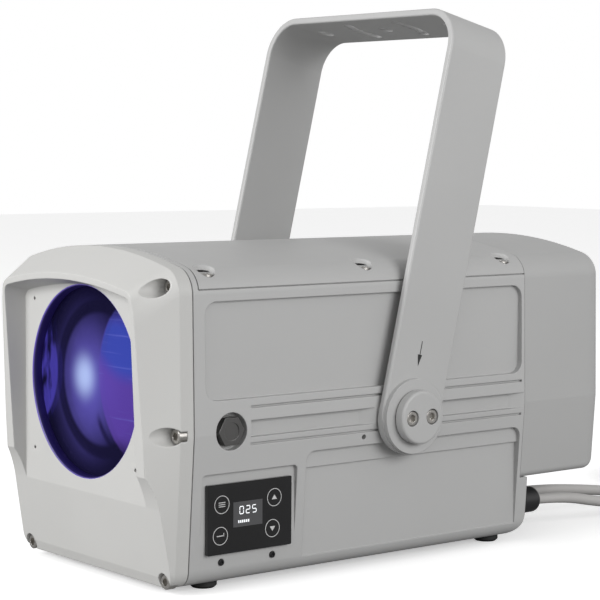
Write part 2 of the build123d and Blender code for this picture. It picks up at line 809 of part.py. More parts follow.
def rear_rod_plate():
    y0 = rod_rear_y - 5.0
    plate = cross_plate(y0, 5.0, 70.0)
    for x, z in screw_places():
        plate -= disc_y(lead_screw_diameter + 2.0, y0 - 1, y0 + 6, x, z)
    return plate


def guide_rods():
    return [
        disc_y(rod_diameter, rod_front_y, rod_rear_y, side * rod_spread, lens_height)
        for side in (-1, 1)
    ]


def optical_bench():
    y0 = front_y + 26.0
    y1 = bulkhead_y - 4.0
    z = bench_height
    plate = block(-72, 72, y0, y1, z, z + bench_thickness)
    for x, y in bench_posts():
        plate -= disc_z(4.4, z - 1, z + bench_thickness + 1, x, y)
    window = block(-40, 40, rod_front_y + 70, rod_front_y + 120, z - 1, z + 5)
    return plate - fillet(window.edges().filter_by(Axis.Z), 6.0)


def bench_screws():
    screw = socket_screw(4.0, bench_thickness + 8.0, 7.0, 3.0)
    z = bench_height + bench_thickness
    return [Pos(x, y, z) * screw for x, y in bench_posts()]


def carriage_plate(y0, opening, own, other):
    """Slider on both rods, with a nut bore for its own screw and a free hole for the other."""
    z = lens_height
    face = Pos(0, z) * (Circle(59.0) + Rectangle(2 * rod_spread + 18, 22.0))
    for x, low in (own, other):
        face += Pos(x, low) * Circle(9.0)
        face += Pos(x, (low + z) / 2) * Rectangle(18.0, z - low)
    face -= Pos(0, z) * Circle(opening / 2)
    plate = slab(face, y0, y0 + carriage_thickness)
    y1 = y0 + carriage_thickness
    for side in (-1, 1):
        plate -= disc_y(rod_diameter + 2 * running, y0 - 1, y1 + 1, side * rod_spread, z)
    plate -= disc_y(lead_screw_diameter + 2 * running, y0 - 1, y1 + 1, *own)
    return plate - disc_y(lead_screw_diameter + 4.0, y0 - 1, y1 + 1, *other)


def zoom_carriage():
    own, other = screw_places()
    y0 = zoom_plate_y
    carriage = carriage_plate(y0, barrel_diameter - 7.0, own, other)
    front = y0 + carriage_thickness - barrel_length
    tube = Pos(0, lens_height) * (Circle(barrel_diameter / 2) - Circle(barrel_diameter / 2 - 3.5))
    lip = Pos(0, lens_height) * (Circle(barrel_diameter / 2) - Circle(barrel_diameter / 2 - 7.0))
    return carriage + slab(tube, front, y0) + slab(lip, front, front + 3.0)


def front_lens():
    """Meniscus at the mouth of the barrel."""
    y0 = zoom_plate_y + carriage_thickness - barrel_length + 3.0
    radius = barrel_diameter / 2 - 3.5
    disc = disc_y(2 * radius, y0, y0 + 14.0, 0, lens_height)
    return disc & (Pos(0, y0 + 90.0, lens_height) * Sphere(90.0))


def focus_carriage():
    own, other = screw_places()[::-1]
    y0 = focus_plate_y
    carriage = carriage_plate(y0, focus_cell_diameter - 6.0, own, other)
    tube = Pos(0, lens_height) * (
        Circle(focus_cell_diameter / 2) - Circle(focus_cell_diameter / 2 - 3.0)
    )
    return carriage + slab(tube, y0 - 16.0, y0 + carriage_thickness)


def focus_lens():
    radius = focus_cell_diameter / 2 - 3.0
    disc = disc_y(2 * radius, focus_plate_y - 12.0, focus_plate_y + 4.0, 0, lens_height)
    return disc & (Pos(0, focus_plate_y + 58.0, lens_height) * Sphere(70.0))


def lead_screw(place):
    x, z = place
    return disc_y(lead_screw_diameter, rod_front_y, rod_rear_y + 8.0, x, z)


def screw_motor(place):
    x, z = place
    y0 = rod_rear_y
    body = slab(Pos(x, z) * RectangleRounded(28.0, 25.0, 3.0), y0, y0 + 30.0)
    return body - disc_y(lead_screw_diameter + 2.0, y0 - 1, y0 + 9.0, x, z)


def gobo_plate():
    y0 = gobo_y + 10.0
    face = Pos(-10, (bench_height + bench_thickness + 186) / 2) * RectangleRounded(
        150.0, 186 - bench_height - bench_thickness, 5.0
    )
    plate = slab(face, y0, y0 + 4.0)
    plate += disc_y(gobo_diameter + 12.0, gobo_y, y0, 0, lens_height)
    plate -= disc_y(gobo_diameter + 6.0, gobo_y - 1, y0 + 5, 0, lens_height)
    return plate - disc_y(6.0, y0 - 1, y0 + 5, -motor_offset, lens_height)


def gobo_pulley():
    """Toothed ring that carries the image disc and turns on the fixed spigot."""
    spigot = gobo_diameter + 12.0
    ring = Pos(0, lens_height) * (Circle(gobo_pulley_diameter / 2) - Circle(spigot / 2 + running))
    part = slab(ring, gobo_y - 1.0, gobo_y + 9.0)
    cheek = Pos(0, lens_height) * (Circle(gobo_pulley_diameter / 2) - Circle(gobo_diameter / 2))
    return part + slab(cheek, gobo_y - 3.0, gobo_y - 0.4)


def gobo_disc():
    y0 = gobo_y - 4.1
    disc = disc_y(gobo_diameter + 5.0, y0, y0 + 1.1, 0, lens_height)
    star = Pos(0, lens_height) * RegularPolygon(5.0, 5)
    disc -= slab(star, y0 - 1, y0 + 2)
    for k in range(10):
        angle = math.radians(36 * k)
        place = (15 * math.cos(angle), lens_height + 15 * math.sin(angle))
        disc -= disc_y(4.0, y0 - 1, y0 + 2, *place)
    return disc


def motor_pulley():
    part = disc_y(motor_pulley_diameter, gobo_y, gobo_y + 9.0, -motor_offset, lens_height)
    return part + disc_y(5.0, gobo_y + 9.0, gobo_y + 20.0, -motor_offset, lens_height)


def gobo_motor():
    y0 = gobo_y + 14.0
    body = slab(Pos(-motor_offset, lens_height) * RectangleRounded(32.0, 32.0, 4.0), y0, y0 + 22.0)
    return body - disc_y(6.0, y0 - 1, y0 + 7.0, -motor_offset, lens_height)


def belt_loop(big, small):
    """Outline of an open belt round two pulleys of the given radii."""
    slope = math.asin((big - small) / motor_offset)
    c, s = math.cos(slope), math.sin(slope)
    points = [
        (-s * big, c * big),
        (-motor_offset - s * small, c * small),
        (-motor_offset - s * small, -c * small),
        (-s * big, -c * big),
    ]
    face = make_face(Polyline(*points, points[0]))
    return face + Circle(big) + Pos(-motor_offset, 0) * Circle(small)


def drive_belt():
    big = gobo_pulley_diameter / 2 + free_gap
    small = motor_pulley_diameter / 2 + free_gap
    face = belt_loop(big + belt_thickness, small + belt_thickness) - belt_loop(big, small)
    y0 = gobo_y + (9.0 - belt_width) / 2
    return slab(Pos(0, lens_height) * face, y0, y0 + belt_width)


def condenser_cup():
    y1 = sink_base_y - 2.5
    cup = Pos(0, lens_height) * (Circle(38.0) - Circle(33.0))
    return slab(cup, y1 - 32.0, y1)


def condenser_lens():
    y0 = sink_base_y - 32.5
    disc = disc_y(66.0, y0, y0 + 16.0, 0, lens_height)
    return disc & (Pos(0, y0 + 45.0, lens_height) * Sphere(45.0))


def led_board():
    y1 = sink_base_y
    board = block(-42, 42, y1 - 2.5, y1, lens_height - 42, lens_height + 42)
    return board + disc_y(emitter_diameter, y1 - 4.0, y1 - 2.5, 0, lens_height)


def heat_sink():
    half = bulkhead_window / 2 + 7.0
    y0 = sink_base_y
    base = block(-half, half, y0, y0 + 8.0, lens_height - half, lens_height + half)
    pitch = (2 * half - fin_thickness) / (fin_count - 1)
    for k in range(fin_count):
        x = -half + k * pitch
        fin = block(x, x + fin_thickness, y0 + 7.0, y0 + 8.0 + fin_length, lens_height - half, lens_height + half)
        base += fin
    return base


def fan_frame():
    y0 = sink_base_y + 8.0 + fin_length
    half = fan_size / 2
    frame = slab(Pos(0, lens_height) * RectangleRounded(fan_size, fan_size, 4.0), y0, y0 + fan_depth)
    frame -= disc_y(rotor_diameter + 2.0, y0 - 1, y0 + fan_depth + 1, 0, lens_height)
    for k in range(4):
        spoke = Pos(0, y0 + fan_depth - 2.0, lens_height) * (
            Rot(0, 45 + 90 * k, 0) * Pos(half / 2, 0, 0) * Box(half, 4.0, 4.0)
        )
        frame += spoke
    frame += disc_y(30.0, y0 + fan_depth - 4.0, y0 + fan_depth, 0, lens_height)
    frame += disc_y(4.0, y0 + 6.0, y0 + fan_depth - 2.0, 0, lens_height)
    for x in (-41.25, 41.25):
        for z in (-41.25, 41.25):
            frame -= disc_y(4.3, y0 - 1, y0 + fan_depth + 1, x, lens_height + z)
    return frame


def fan_rotor():
    y0 = sink_base_y + 8.0 + fin_length
    rotor = disc_y(32.0, y0 + 2.0, y0 + 19.0, 0, 0)
    for k in range(blade_count):
        blade = Pos(28.0, y0 + 10.5, 0) * (Rot(32, 0, 0) * Box(29.0, 1.6, 19.0))
        rotor += Rot(0, 360 * k / blade_count, 0) * blade
    rotor &= disc_y(rotor_diameter, y0 + 1.0, y0 + 20.0, 0, 0)
    rotor -= disc_y(4.0 + 2 * running, y0 + 5.0, y0 + 20.0, 0, 0)
    return Pos(0, 0, lens_height) * rotor


def driver_module():
    z0 = cavity_floor_z
    body = block(-80, -6, pivot_y - 80, pivot_y + 80, z0, z0 + 38.0)
    body = fillet(body.edges().filter_by(Axis.Y), 2.0)
    return body + block(-60, -26, pivot_y - 86, pivot_y + 86, z0, z0 + 2.5)


def dimmer_board():
    z0 = cavity_floor_z + 6.0
    board = block(8, 76, pivot_y - 78, pivot_y + 52, z0, z0 + 1.6)
    board += block(16, 60, pivot_y - 58, pivot_y - 28, z0 + 1.6, z0 + 16.0)
    for k in range(3):
        board += disc_z(14.0, z0 + 1.6, z0 + 24.0, 24 + 18 * k, pivot_y + 12)
    for x in (12, 72):
        for y in (pivot_y - 74, pivot_y + 48):
            board += disc_z(6.0, cavity_floor_z, z0, x, y)
    return board


# ---------------------------------------------------------------- glands and cables
def cable_gland(x):
    """Gland body and dome nut in the rear wall, with the locknut inside."""
    z = gland_height
    y = rear_y
    part = disc_y(16.0 - 2 * running, bulkhead_y - 8.0, y + 1.0, x, z)
    part += slab(Pos(x, z) * RegularPolygon(10.0, 6, major_radius=False, rotation=30), y, y + 6.0)
    nut = disc_y(19.0, y + 6.0, y + gland_length, x, z)
    nut = fillet(nut.edges().sort_by(Axis.Y)[-1], 5.0)
    part += nut
    lock = Pos(x, z) * RegularPolygon(9.5, 6, major_radius=False, rotation=30)
    part += slab(lock, bulkhead_y - 5.0, bulkhead_y)
    return part - disc_y(cable_diameter + 0.4, bulkhead_y - 9, y + gland_length + 1, x, z)


def power_route():
    """Centre line of the mains cable, from its gland to the coil on the floor."""
    x = gland_power_x
    z = gland_height
    return [
        (x, rear_y - 4.0, z),
        (x, rear_y + 50.0, z),
        (x - 0.5, rear_y + 112.0, z - 6.5),
        (x - 2.5, rear_y + 176.0, z - 16.5),
        (x - 8.0, rear_y + 240.0, 5.2),
        (x - 18.5, rear_y + 304.0, cable_diameter / 2 + 0.1),
    ]


def data_route():
    """Centre line of the data cable, from its gland to the coil on the floor."""
    x = gland_data_x
    z = gland_height
    return [
        (x, rear_y - 4.0, z),
        (x, rear_y + 46.0, z),
        (x + 0.5, rear_y + 98.0, z - 10.5),
        (x - 0.5, rear_y + 150.0, z - 19.5),
        (x - 2.0, rear_y + 198.0, cable_diameter / 2 + 0.1),
    ]


def bend_radii(points):
    """Arc radii that take 0.45 of the shorter run at every bend."""
    radii = []
    for before, here, after in zip(points, points[1:], points[2:]):
        a = Vector(*here) - Vector(*before)
        b = Vector(*after) - Vector(*here)
        half_turn = math.radians(a.get_angle(b)) / 2
        radii.append(round(0.45 * min(a.length, b.length) / math.tan(half_turn), 2))
    return radii


def cable_tube(points, label):
    radii = bend_radii(points)
    path = FilletPolyline(*points, radius=radii)
    start = Plane(origin=path @ 0, z_dir=path % 0)
    tube = sweep(start * Circle(cable_diameter / 2), path=path)
    share = tube.volume / (math.pi * cable_diameter**2 / 4 * path.length)
    print(label, "bend radii", radii, "length", round(path.length, 1), "volume share", round(share, 4))
    return tube


def coil_centre(route, hand):
    """Middle of the coil that a route runs into, on its left (1) or its right (-1)."""
    before = Vector(*route[-2])
    end = Vector(*route[-1])
    ahead = Vector(end.X - before.X, end.Y - before.Y, 0).normalized()
    return Vector(end.X, end.Y, 0) + Vector(-ahead.Y, ahead.X, 0) * (hand * coil_diameter / 2)


def coil(route, hand):
    """Outer shape of the tidy coil that the spare cable is put away in."""
    centre = coil_centre(route, hand)
    return Pos(centre.X, centre.Y, coil_bundle / 2) * Torus(coil_diameter / 2, coil_bundle / 2)


def tail_route(route, hand, end_height):
    """Centre line of the tail between the coil and its plug."""
    centre = coil_centre(route, hand)
    x = centre.X + hand * coil_diameter / 2
    return [
        (x, centre.Y, coil_bundle / 2),
        (x + hand * 1.0, centre.Y + 36.0, (coil_bundle / 2 + end_height) / 2),
        (x - hand * 1.0, centre.Y + 66.0, end_height),
        (x - hand * 4.0, centre.Y + 92.0, end_height),
    ]


def plug_place(route, hand, end_height):
    """Frame at the end of a tail, with +Z along the cable."""
    tail = tail_route(route, hand, end_height)
    ahead = Vector(*tail[-1]) - Vector(*tail[-2])
    return Plane(origin=tail[-1], z_dir=(ahead.X, ahead.Y, 0)).location


def mains_plug():
    """Round earthed plug with two pins and a tapered grip."""
    profile = Polyline(
        (0, 0),
        (6.5, 0),
        (8.0, 16.0),
        (mains_plug_diameter / 2 - 3.0, 26.0),
        (mains_plug_diameter / 2, 30.0),
        (mains_plug_diameter / 2, 44.0),
        (0, 44.0),
        (0, 0),
    )
    body = revolve(make_face(Plane.XZ * profile), Axis.Z)
    for side in (-1, 1):
        pin = Pos(side * 9.5, 0, 43.0) * extrude(Circle(2.4), amount=20.0)
        body += fillet(pin.edges().sort_by(Axis.Z)[-1], 1.6)
    return plug_place(power_route(), 1, mains_plug_diameter / 2) * body


def data_plug():
    """Round locking data connector with a ribbed sleeve."""
    radius = data_plug_diameter / 2
    body = Pos(0, 0, 14.0) * extrude(Circle(radius), amount=48.0)
    body += extrude(Circle(6.0), amount=16.0)
    for k in range(5):
        groove = Circle(radius + 1) - Circle(radius - 0.8)
        body -= Pos(0, 0, 22.0 + 4.0 * k) * extrude(groove, amount=1.6)
    body -= Pos(0, 0, 50.0) * extrude(Circle(radius - 1.6), amount=14.0)
    for k in range(5):
        angle = math.radians(36 + 60 * k)
        pin = Pos(5 * math.cos(angle), 5 * math.sin(angle), 49.0) * extrude(Circle(0.9), amount=11.0)
        body += pin
    return plug_place(data_route(), -1, radius) * body


def power_cable():
    tail = tail_route(power_route(), 1, mains_plug_diameter / 2)
    tubes = [cable_tube(power_route(), "power_cable"), cable_tube(tail, "power_tail")]
    return [tube - coil(power_route(), 1) for tube in tubes]


def data_cable():
    tail = tail_route(data_route(), -1, data_plug_diameter / 2)
    tubes = [cable_tube(data_route(), "data_cable"), cable_tube(tail, "data_tail")]
    return [tube - coil(data_route(), -1) for tube in tubes]


# ---------------------------------------------------------------- write every node
def nodes():
    left_screw, right_screw = screw_places()
    return {
        "main_casing": main_casing(),
        "top_lid": top_lid(),
        "lid_seal": lid_seal(),
        "rear_cover": rear_cover(),
        "rear_seal": rear_seal(),
        "rear_posts": rear_posts(),
        "front_hood": front_hood(),
        "hood_seal": hood_seal(),
        "window_seal": window_seal(),
        "front_window": front_window(),
        "window_retainer": window_retainer(),
        "retainer_screws": retainer_screws(),
        "hood_screws": hood_screws(),
        "lid_screws": lid_screws(),
        "rear_screws": rear_screws(),
        "yoke": yoke(),
        "friction_washers": friction_washers(),
        "pivot_bushes": both_sides(pivot_bush()),
        "pivot_caps": both_sides(pivot_cap()),
        "pivot_screws": pivot_screws(),
        "vent_plug": vent_plug(),
        "rubber_feet": rubber_feet(),
        "foot_screws": foot_screws(),
        "panel_glass": panel_glass(),
        "display_module": display_module(),
        "control_board": control_board(),
        "panel_screws": panel_screws(),
        "front_rod_plate": front_rod_plate(),
        "rear_rod_plate": rear_rod_plate(),
        "guide_rods": guide_rods(),
        "optical_bench": optical_bench(),
        "bench_screws": bench_screws(),
        "zoom_carriage": zoom_carriage(),
        "front_lens": front_lens(),
        "focus_carriage": focus_carriage(),
        "focus_lens": focus_lens(),
        "zoom_screw": lead_screw(left_screw),
        "focus_screw": lead_screw(right_screw),
        "screw_motors": [screw_motor(left_screw), screw_motor(right_screw)],
        "gobo_plate": gobo_plate(),
        "gobo_pulley": gobo_pulley(),
        "gobo_disc": gobo_disc(),
        "motor_pulley": motor_pulley(),
        "gobo_motor": gobo_motor(),
        "drive_belt": drive_belt(),
        "condenser_cup": condenser_cup(),
        "condenser_lens": condenser_lens(),
        "led_board": led_board(),
        "heat_sink": heat_sink(),
        "fan_frame": fan_frame(),
        "fan_rotor": fan_rotor(),
        "driver_module": driver_module(),
        "dimmer_board": dimmer_board(),
        "cable_glands": [cable_gland(gland_power_x), cable_gland(gland_data_x)],
        "power_cable": power_cable(),
        "power_coil": coil(power_route(), 1),
        "mains_plug": mains_plug(),
        "data_cable": data_cable(),
        "data_coil": coil(data_route(), -1),
        "data_plug": data_plug(),
    }


os.makedirs("parts", exist_ok=True)
for name, shape in nodes().items():
    solids = shape if isinstance(shape, list) else [shape]
    body = Compound(children=[s for one in solids for s in one.solids()])
    export_step(body, f"parts/{name}.step")
    print(name, len(body.solids()), round(body.volume))
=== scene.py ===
# %% [markdown]
# # A studio picture of an outdoor image projector on its yoke
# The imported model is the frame: every casting, screw and lens already sits in its
# place, in metres. This lesson adds what a drawing office model doesn't have, which is
# paint with a skin, metal with tool marks, glass with a coating, cables that lie down
# under their own weight, and the light that shows them.


# %% Load the frame
import json
import math

import bmesh
import bpy
from mathutils import Matrix, Vector


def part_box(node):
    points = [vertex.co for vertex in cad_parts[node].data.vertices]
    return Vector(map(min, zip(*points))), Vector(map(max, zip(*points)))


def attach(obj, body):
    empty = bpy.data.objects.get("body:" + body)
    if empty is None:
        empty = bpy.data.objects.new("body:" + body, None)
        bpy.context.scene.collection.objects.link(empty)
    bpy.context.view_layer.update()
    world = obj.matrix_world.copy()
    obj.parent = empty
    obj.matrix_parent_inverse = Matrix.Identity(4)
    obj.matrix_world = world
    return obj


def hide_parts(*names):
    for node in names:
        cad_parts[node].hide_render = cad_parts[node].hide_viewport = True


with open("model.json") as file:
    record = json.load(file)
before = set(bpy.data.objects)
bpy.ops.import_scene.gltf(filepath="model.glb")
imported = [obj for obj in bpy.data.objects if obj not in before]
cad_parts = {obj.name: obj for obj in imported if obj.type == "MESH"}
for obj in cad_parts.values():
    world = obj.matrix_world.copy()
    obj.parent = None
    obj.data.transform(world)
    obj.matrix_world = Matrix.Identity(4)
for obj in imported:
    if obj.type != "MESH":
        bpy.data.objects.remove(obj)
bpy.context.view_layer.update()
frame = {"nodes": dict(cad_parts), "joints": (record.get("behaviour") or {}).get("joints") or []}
nodes = frame["nodes"]

# %% [markdown]
# ## Where the camera stands
# A long lens far away keeps the box from looking pinched. The camera looks from the
# front right corner, a little above the middle, so the hood, the flank with its panel
# and the inside of the yoke all show at once. The three axes of the camera are worked
# out from an azimuth, a height angle and a small roll, and go straight into its matrix.

# %% Camera
azimuth = math.radians(51.31)
height_angle = math.radians(4.47)
roll = math.radians(0.36)
back = Vector(
    (
        math.sin(azimuth) * math.cos(height_angle),
        -math.cos(azimuth) * math.cos(height_angle),
        math.sin(height_angle),
    )
)
level = Vector((math.cos(azimuth), math.sin(azimuth), 0.0))
upright = back.cross(level)
right = level * math.cos(roll) + upright * math.sin(roll)
up = upright * math.cos(roll) - level * math.sin(roll)
camera = bpy.data.objects.new("camera", bpy.data.cameras.new("camera"))
bpy.context.scene.collection.objects.link(camera)
camera.matrix_world = Matrix.Translation((1.1121, -0.8987, 0.2898)) @ Matrix(
    (right, up, back)
).transposed().to_4x4()
camera.data.lens = 118.5
camera.data.sensor_width = 36.0
camera.data.clip_start = 0.05
bpy.context.scene.camera = camera
print("camera at", [round(v, 3) for v in camera.matrix_world.translation])

# %% [markdown]
# ## The two cables
# A mains lead and a data lead leave the rear wall side by side, level at first because
# the glands hold them, then sink to the floor over a long shallow curve. The rest of
# each lead is put away in a neat coil behind the projector, with a strap round it, and
# the plug lies at the end of a short tail. A curve is the right tool: one smooth line
# carries the whole lead, and its bevel gives the sheath. The line is a spline of order
# three, which cuts its corners gently, as a stiff round lead does.

# %% Route helpers
lead_diameter = 0.008
coil_radius = 0.044
coil_height = 0.0122
bundle_reach = 0.0078
points_per_turn = 14


def metres(points):
    return [Vector(point) / 1000.0 for point in points]


def coil_middle(before, end, hand):
    """Middle of the coil that a lead runs into, on its left (1) or its right (-1)."""
    ahead = Vector((end.x - before.x, end.y - before.y, 0.0)).normalized()
    side = Vector((-ahead.y, ahead.x, 0.0)) * hand * coil_radius
    return Vector((end.x, end.y, 0.0)) + side


def coil_turns(middle, start, stop, turns, hand):
    """Turns that wander round the bundle, so that they lie beside and on each other."""
    steps = points_per_turn * turns
    corner_cut = math.cos(math.pi / points_per_turn) ** 0.5
    first = math.atan2(start.y - middle.y, start.x - middle.x)
    last = math.atan2(stop.y - middle.y, stop.x - middle.x)
    sweep = (last - first) * hand + 2 * math.pi * turns
    points = []
    for step in range(1, steps):
        share = step / steps
        angle = first + hand * sweep * share
        place = -math.pi / 2 - 1.5 * math.pi * share
        radius = (coil_radius + bundle_reach * math.cos(place)) / corner_cut
        across = Vector((math.cos(angle), math.sin(angle), 0.0)) * radius
        rise = Vector((0.0, 0.0, coil_height + bundle_reach * math.sin(place)))
        points.append(middle + across + rise)
    return points


def tail(middle, hand, end_height):
    """The short run from the coil to the plug, on the side where the lead came in."""
    x = middle.x + hand * coil_radius
    rise = (0.012 + end_height) / 2
    return [
        Vector((x + hand * bundle_reach, middle.y, 0.012)),
        Vector((x + hand * 0.0040, middle.y + 0.036, rise)),
        Vector((x - hand * 0.001, middle.y + 0.066, end_height)),
        Vector((x - hand * 0.004, middle.y + 0.092, end_height)),
    ]


def lead_curve(name, points):
    """One open smooth spline, a unit bevel scaled down to the lead at every point."""
    data = bpy.data.curves.new(name, "CURVE")
    data.dimensions = "3D"
    data.bevel_depth = 1.0
    data.bevel_resolution = 6
    data.resolution_u = 8
    data.use_fill_caps = True
    spline = data.splines.new("NURBS")
    spline.points.add(len(points) - 1)
    for point, place in zip(spline.points, points):
        point.co = (place.x, place.y, place.z, 1.0)
        point.radius = lead_diameter / 2
    spline.order_u = 3
    spline.use_endpoint_u = True
    lead = bpy.data.objects.new(name, data)
    bpy.context.scene.collection.objects.link(lead)
    return lead


def line_length(lead):
    """Length of the smooth line itself, measured on a copy without its bevel."""
    bare = lead.data.copy()
    bare.bevel_depth = 0.0
    twin = bpy.data.objects.new("measure", bare)
    bpy.context.scene.collection.objects.link(twin)
    bpy.context.view_layer.update()
    mesh = bpy.data.meshes.new_from_object(twin)
    spots = [v.co.copy() for v in mesh.vertices]
    bpy.data.objects.remove(twin)
    bpy.data.meshes.remove(mesh)
    return sum((b - a).length for a, b in zip(spots, spots[1:]))


# %% Mains lead
power_route = metres(
    [
        (48, 127.4, 27),
        (48, 181.4, 27),
        (47.5, 243.4, 20.5),
        (45.5, 307.4, 10.5),
        (40, 371.4, 5.2),
        (29.5, 435.4, 4.3),
    ]
)
power_middle = coil_middle(power_route[-2], power_route[-1], 1)
power_tail = tail(power_middle, 1, 0.018)
power_turns = coil_turns(power_middle, power_route[-1], power_tail[0], 4, 1)
power_lead = lead_curve("mains_lead", power_route + power_turns + power_tail)
power_length = line_length(power_lead)
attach(power_lead, "casing")
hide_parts("power_cable", "power_coil")
print("mains lead", round(power_length, 3), "m")

# %% Data lead
data_route = metres(
    [
        (78, 127.4, 27),
        (78, 177.4, 27),
        (78.5, 229.4, 16.5),
        (77.5, 281.4, 7.5),
        (76, 329.4, 4.3),
    ]
)
data_middle = coil_middle(data_route[-2], data_route[-1], -1)
data_tail = tail(data_middle, -1, 0.0095)
data_turns = coil_turns(data_middle, data_route[-1], data_tail[0], 5, -1)
data_lead = lead_curve("data_lead", data_route + data_turns + data_tail)
data_length = line_length(data_lead)
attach(data_lead, "casing")
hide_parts("data_cable", "data_coil")
print("data lead", round(data_length, 3), "m")

# %% [markdown]
# ## Meshes from points
# Every other made piece starts as a list of faces in a bmesh. One helper turns such a
# list into a piece that rides a body, with its faces all turned outwards. The first
# pieces to use it are the straps, which close round the bundle of each coil.


# %% Piece helper
def made_piece(name, shaper, body, smooth=False):
    """Close the list of faces into a piece that moves with the body."""
    bmesh.ops.recalc_face_normals(shaper, faces=shaper.faces)
    mesh = bpy.data.meshes.new(name)
    shaper.to_mesh(mesh)
    shaper.free()
    for face in mesh.polygons:
        face.use_smooth = smooth
    piece = bpy.data.objects.new(name, mesh)
    bpy.context.scene.collection.objects.link(piece)
    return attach(piece, body)


# %% A strap round each coil
def strap(name, middle, angle, steps=28):
    """A short band round the bundle, closed on itself."""
    inner, outer, half_width, height_off_floor = 0.0117, 0.0121, 0.006, 0.0123
    shaper = bmesh.new()
    rows = []
    for step in range(steps):
        turn = 2 * math.pi * step / steps
        for thickness in (inner, outer):
            reach = coil_radius + thickness * math.cos(turn)
            height = height_off_floor + thickness * math.sin(turn)
            for width in (-half_width, half_width):
                lean = angle + width / coil_radius
                spot = (
                    middle.x + reach * math.cos(lean),
                    middle.y + reach * math.sin(lean),
                    height,
                )
                rows.append(shaper.verts.new(spot))
    for step in range(steps):
        a = rows[4 * step : 4 * step + 4]
        after = 4 * ((step + 1) % steps)
        b = rows[after : after + 4]
        for i, j in ((0, 1), (1, 3), (3, 2), (2, 0)):
            shaper.faces.new((a[i], a[j], b[j], b[i]))
    return made_piece(name, shaper, "casing")


power_strap = strap("mains_coil_strap", power_middle, 2.4)
data_strap = strap("data_coil_strap", data_middle, 0.9)
print("straps", power_strap.name, data_strap.name)

# %% Thickness of both leads
print("leads declared, both", lead_diameter * 1000, "mm thick")

# %% [markdown]
# ## A small language for finishes
# A finish is a network of shader nodes. Written by hand, one sum takes four lines, so a
# small class wraps a socket and lets Python's own signs add the Math nodes. Every other
# node comes from one method, which takes the node's kind, its settings and its inputs.


# %% Sockets that can be added and multiplied
class Wire:
    def __init__(self, finish, socket):
        self.finish = finish
        self.socket = socket

    def math(self, operation, first, second):
        return self.finish.node("ShaderNodeMath", {"operation": operation}, {0: first, 1: second})

    def __add__(self, other):
        return self.math("ADD", self, other)

    __radd__ = __add__

    def __sub__(self, other):
        return self.math("SUBTRACT", self, other)

    def __rsub__(self, other):
        return self.math("SUBTRACT", other, self)

    def __mul__(self, other):
        return self.math("MULTIPLY", self, other)

    __rmul__ = __mul__

    def __pow__(self, other):
        return self.math("POWER", self, other)

    def limited(self):
        """The same value, kept between nought and one."""
        return self.finish.node(
            "ShaderNodeClamp", {}, {"Value": self, "Min": 0.0, "Max": 1.0}
        )


# %% The finish itself
class Finish:
    def __init__(self, name, colour, roughness, metallic=0.0, **uniform):
        self.material = bpy.data.materials.new(name)
        self.material.use_nodes = True
        self.tree = self.material.node_tree
        self.shader = self.tree.nodes["Principled BSDF"]
        self.output = self.tree.nodes["Material Output"]
        self.shader.inputs["Base Color"].default_value = (*colour, 1.0)
        self.shader.inputs["Roughness"].default_value = roughness
        self.shader.inputs["Metallic"].default_value = metallic
        for socket, value in uniform.items():
            self.shader.inputs[socket.replace("_", " ")].default_value = value
        self.material.diffuse_color = (*colour, 1.0)

    def node(self, kind, settings, inputs, output=0):
        made = self.tree.nodes.new(kind)
        for setting, value in settings.items():
            setattr(made, setting, value)
        for socket, value in inputs.items():
            if isinstance(value, Wire):
                self.tree.links.new(value.socket, made.inputs[socket])
            else:
                made.inputs[socket].default_value = value
        return Wire(self, made.outputs[output])

    def feed(self, socket, wire):
        self.tree.links.new(wire.socket, self.shader.inputs[socket])

    def place(self):
        """The point on the piece, in metres."""
        return self.node("ShaderNodeTexCoord", {}, {}, "Object")

    def noise(self, scale, detail=3.0, roughness=0.5, stretch=(1.0, 1.0, 1.0)):
        spot = self.node(
            "ShaderNodeVectorMath", {"operation": "MULTIPLY"}, {0: self.place(), 1: stretch}
        )
        return self.node(
            "ShaderNodeTexNoise",
            {},
            {"Vector": spot, "Scale": scale, "Detail": detail, "Roughness": roughness},
        )

    def blend(self, share, low, high):
        """A colour between two colours."""
        return self.node(
            "ShaderNodeMix",
            {"data_type": "RGBA"},
            {0: share, 6: low if isinstance(low, Wire) else (*low, 1.0), 7: (*high, 1.0)},
            2,
        )

    def rounded(self, radius):
        """The surface direction with its sharp edges eased over."""
        return self.node("ShaderNodeBevel", {"samples": 6}, {"Radius": radius})

    def edges(self, radius):
        """One along the sharp edges, nought on the faces."""
        true = self.node("ShaderNodeNewGeometry", {}, {}, "True Normal")
        alike = self.node(
            "ShaderNodeVectorMath",
            {"operation": "DOT_PRODUCT"},
            {0: true, 1: self.rounded(radius)},
            "Value",
        )
        return ((1.0 - alike) * 7.0).limited()

    def bump(self, height, depth, strength=1.0, normal=None):
        inputs = {"Height": height, "Distance": depth, "Strength": strength}
        if normal is not None:
            inputs["Normal"] = normal
        self.feed("Normal", self.node("ShaderNodeBump", {}, inputs))


def dress(finish, *names):
    """Give these pieces the finish, in every slot that they have."""
    for name in names:
        piece = nodes[name] if name in nodes else bpy.data.objects[name]
        if not piece.data.materials:
            piece.data.materials.append(finish.material)
        for index in range(len(piece.data.materials)):
            piece.data.materials[index] = finish.material


# %% [markdown]
# ## Powder coat
# The castings wear a light grey polyester powder coat. Powder melts into a skin with a
# slight orange peel, a millimetre or two across, over a much finer grain from the die.
# Handling polishes the edges a little paler. The peel and grain go into a bump, and the
# edges come from a bevel node, which also rounds the light over every corner.


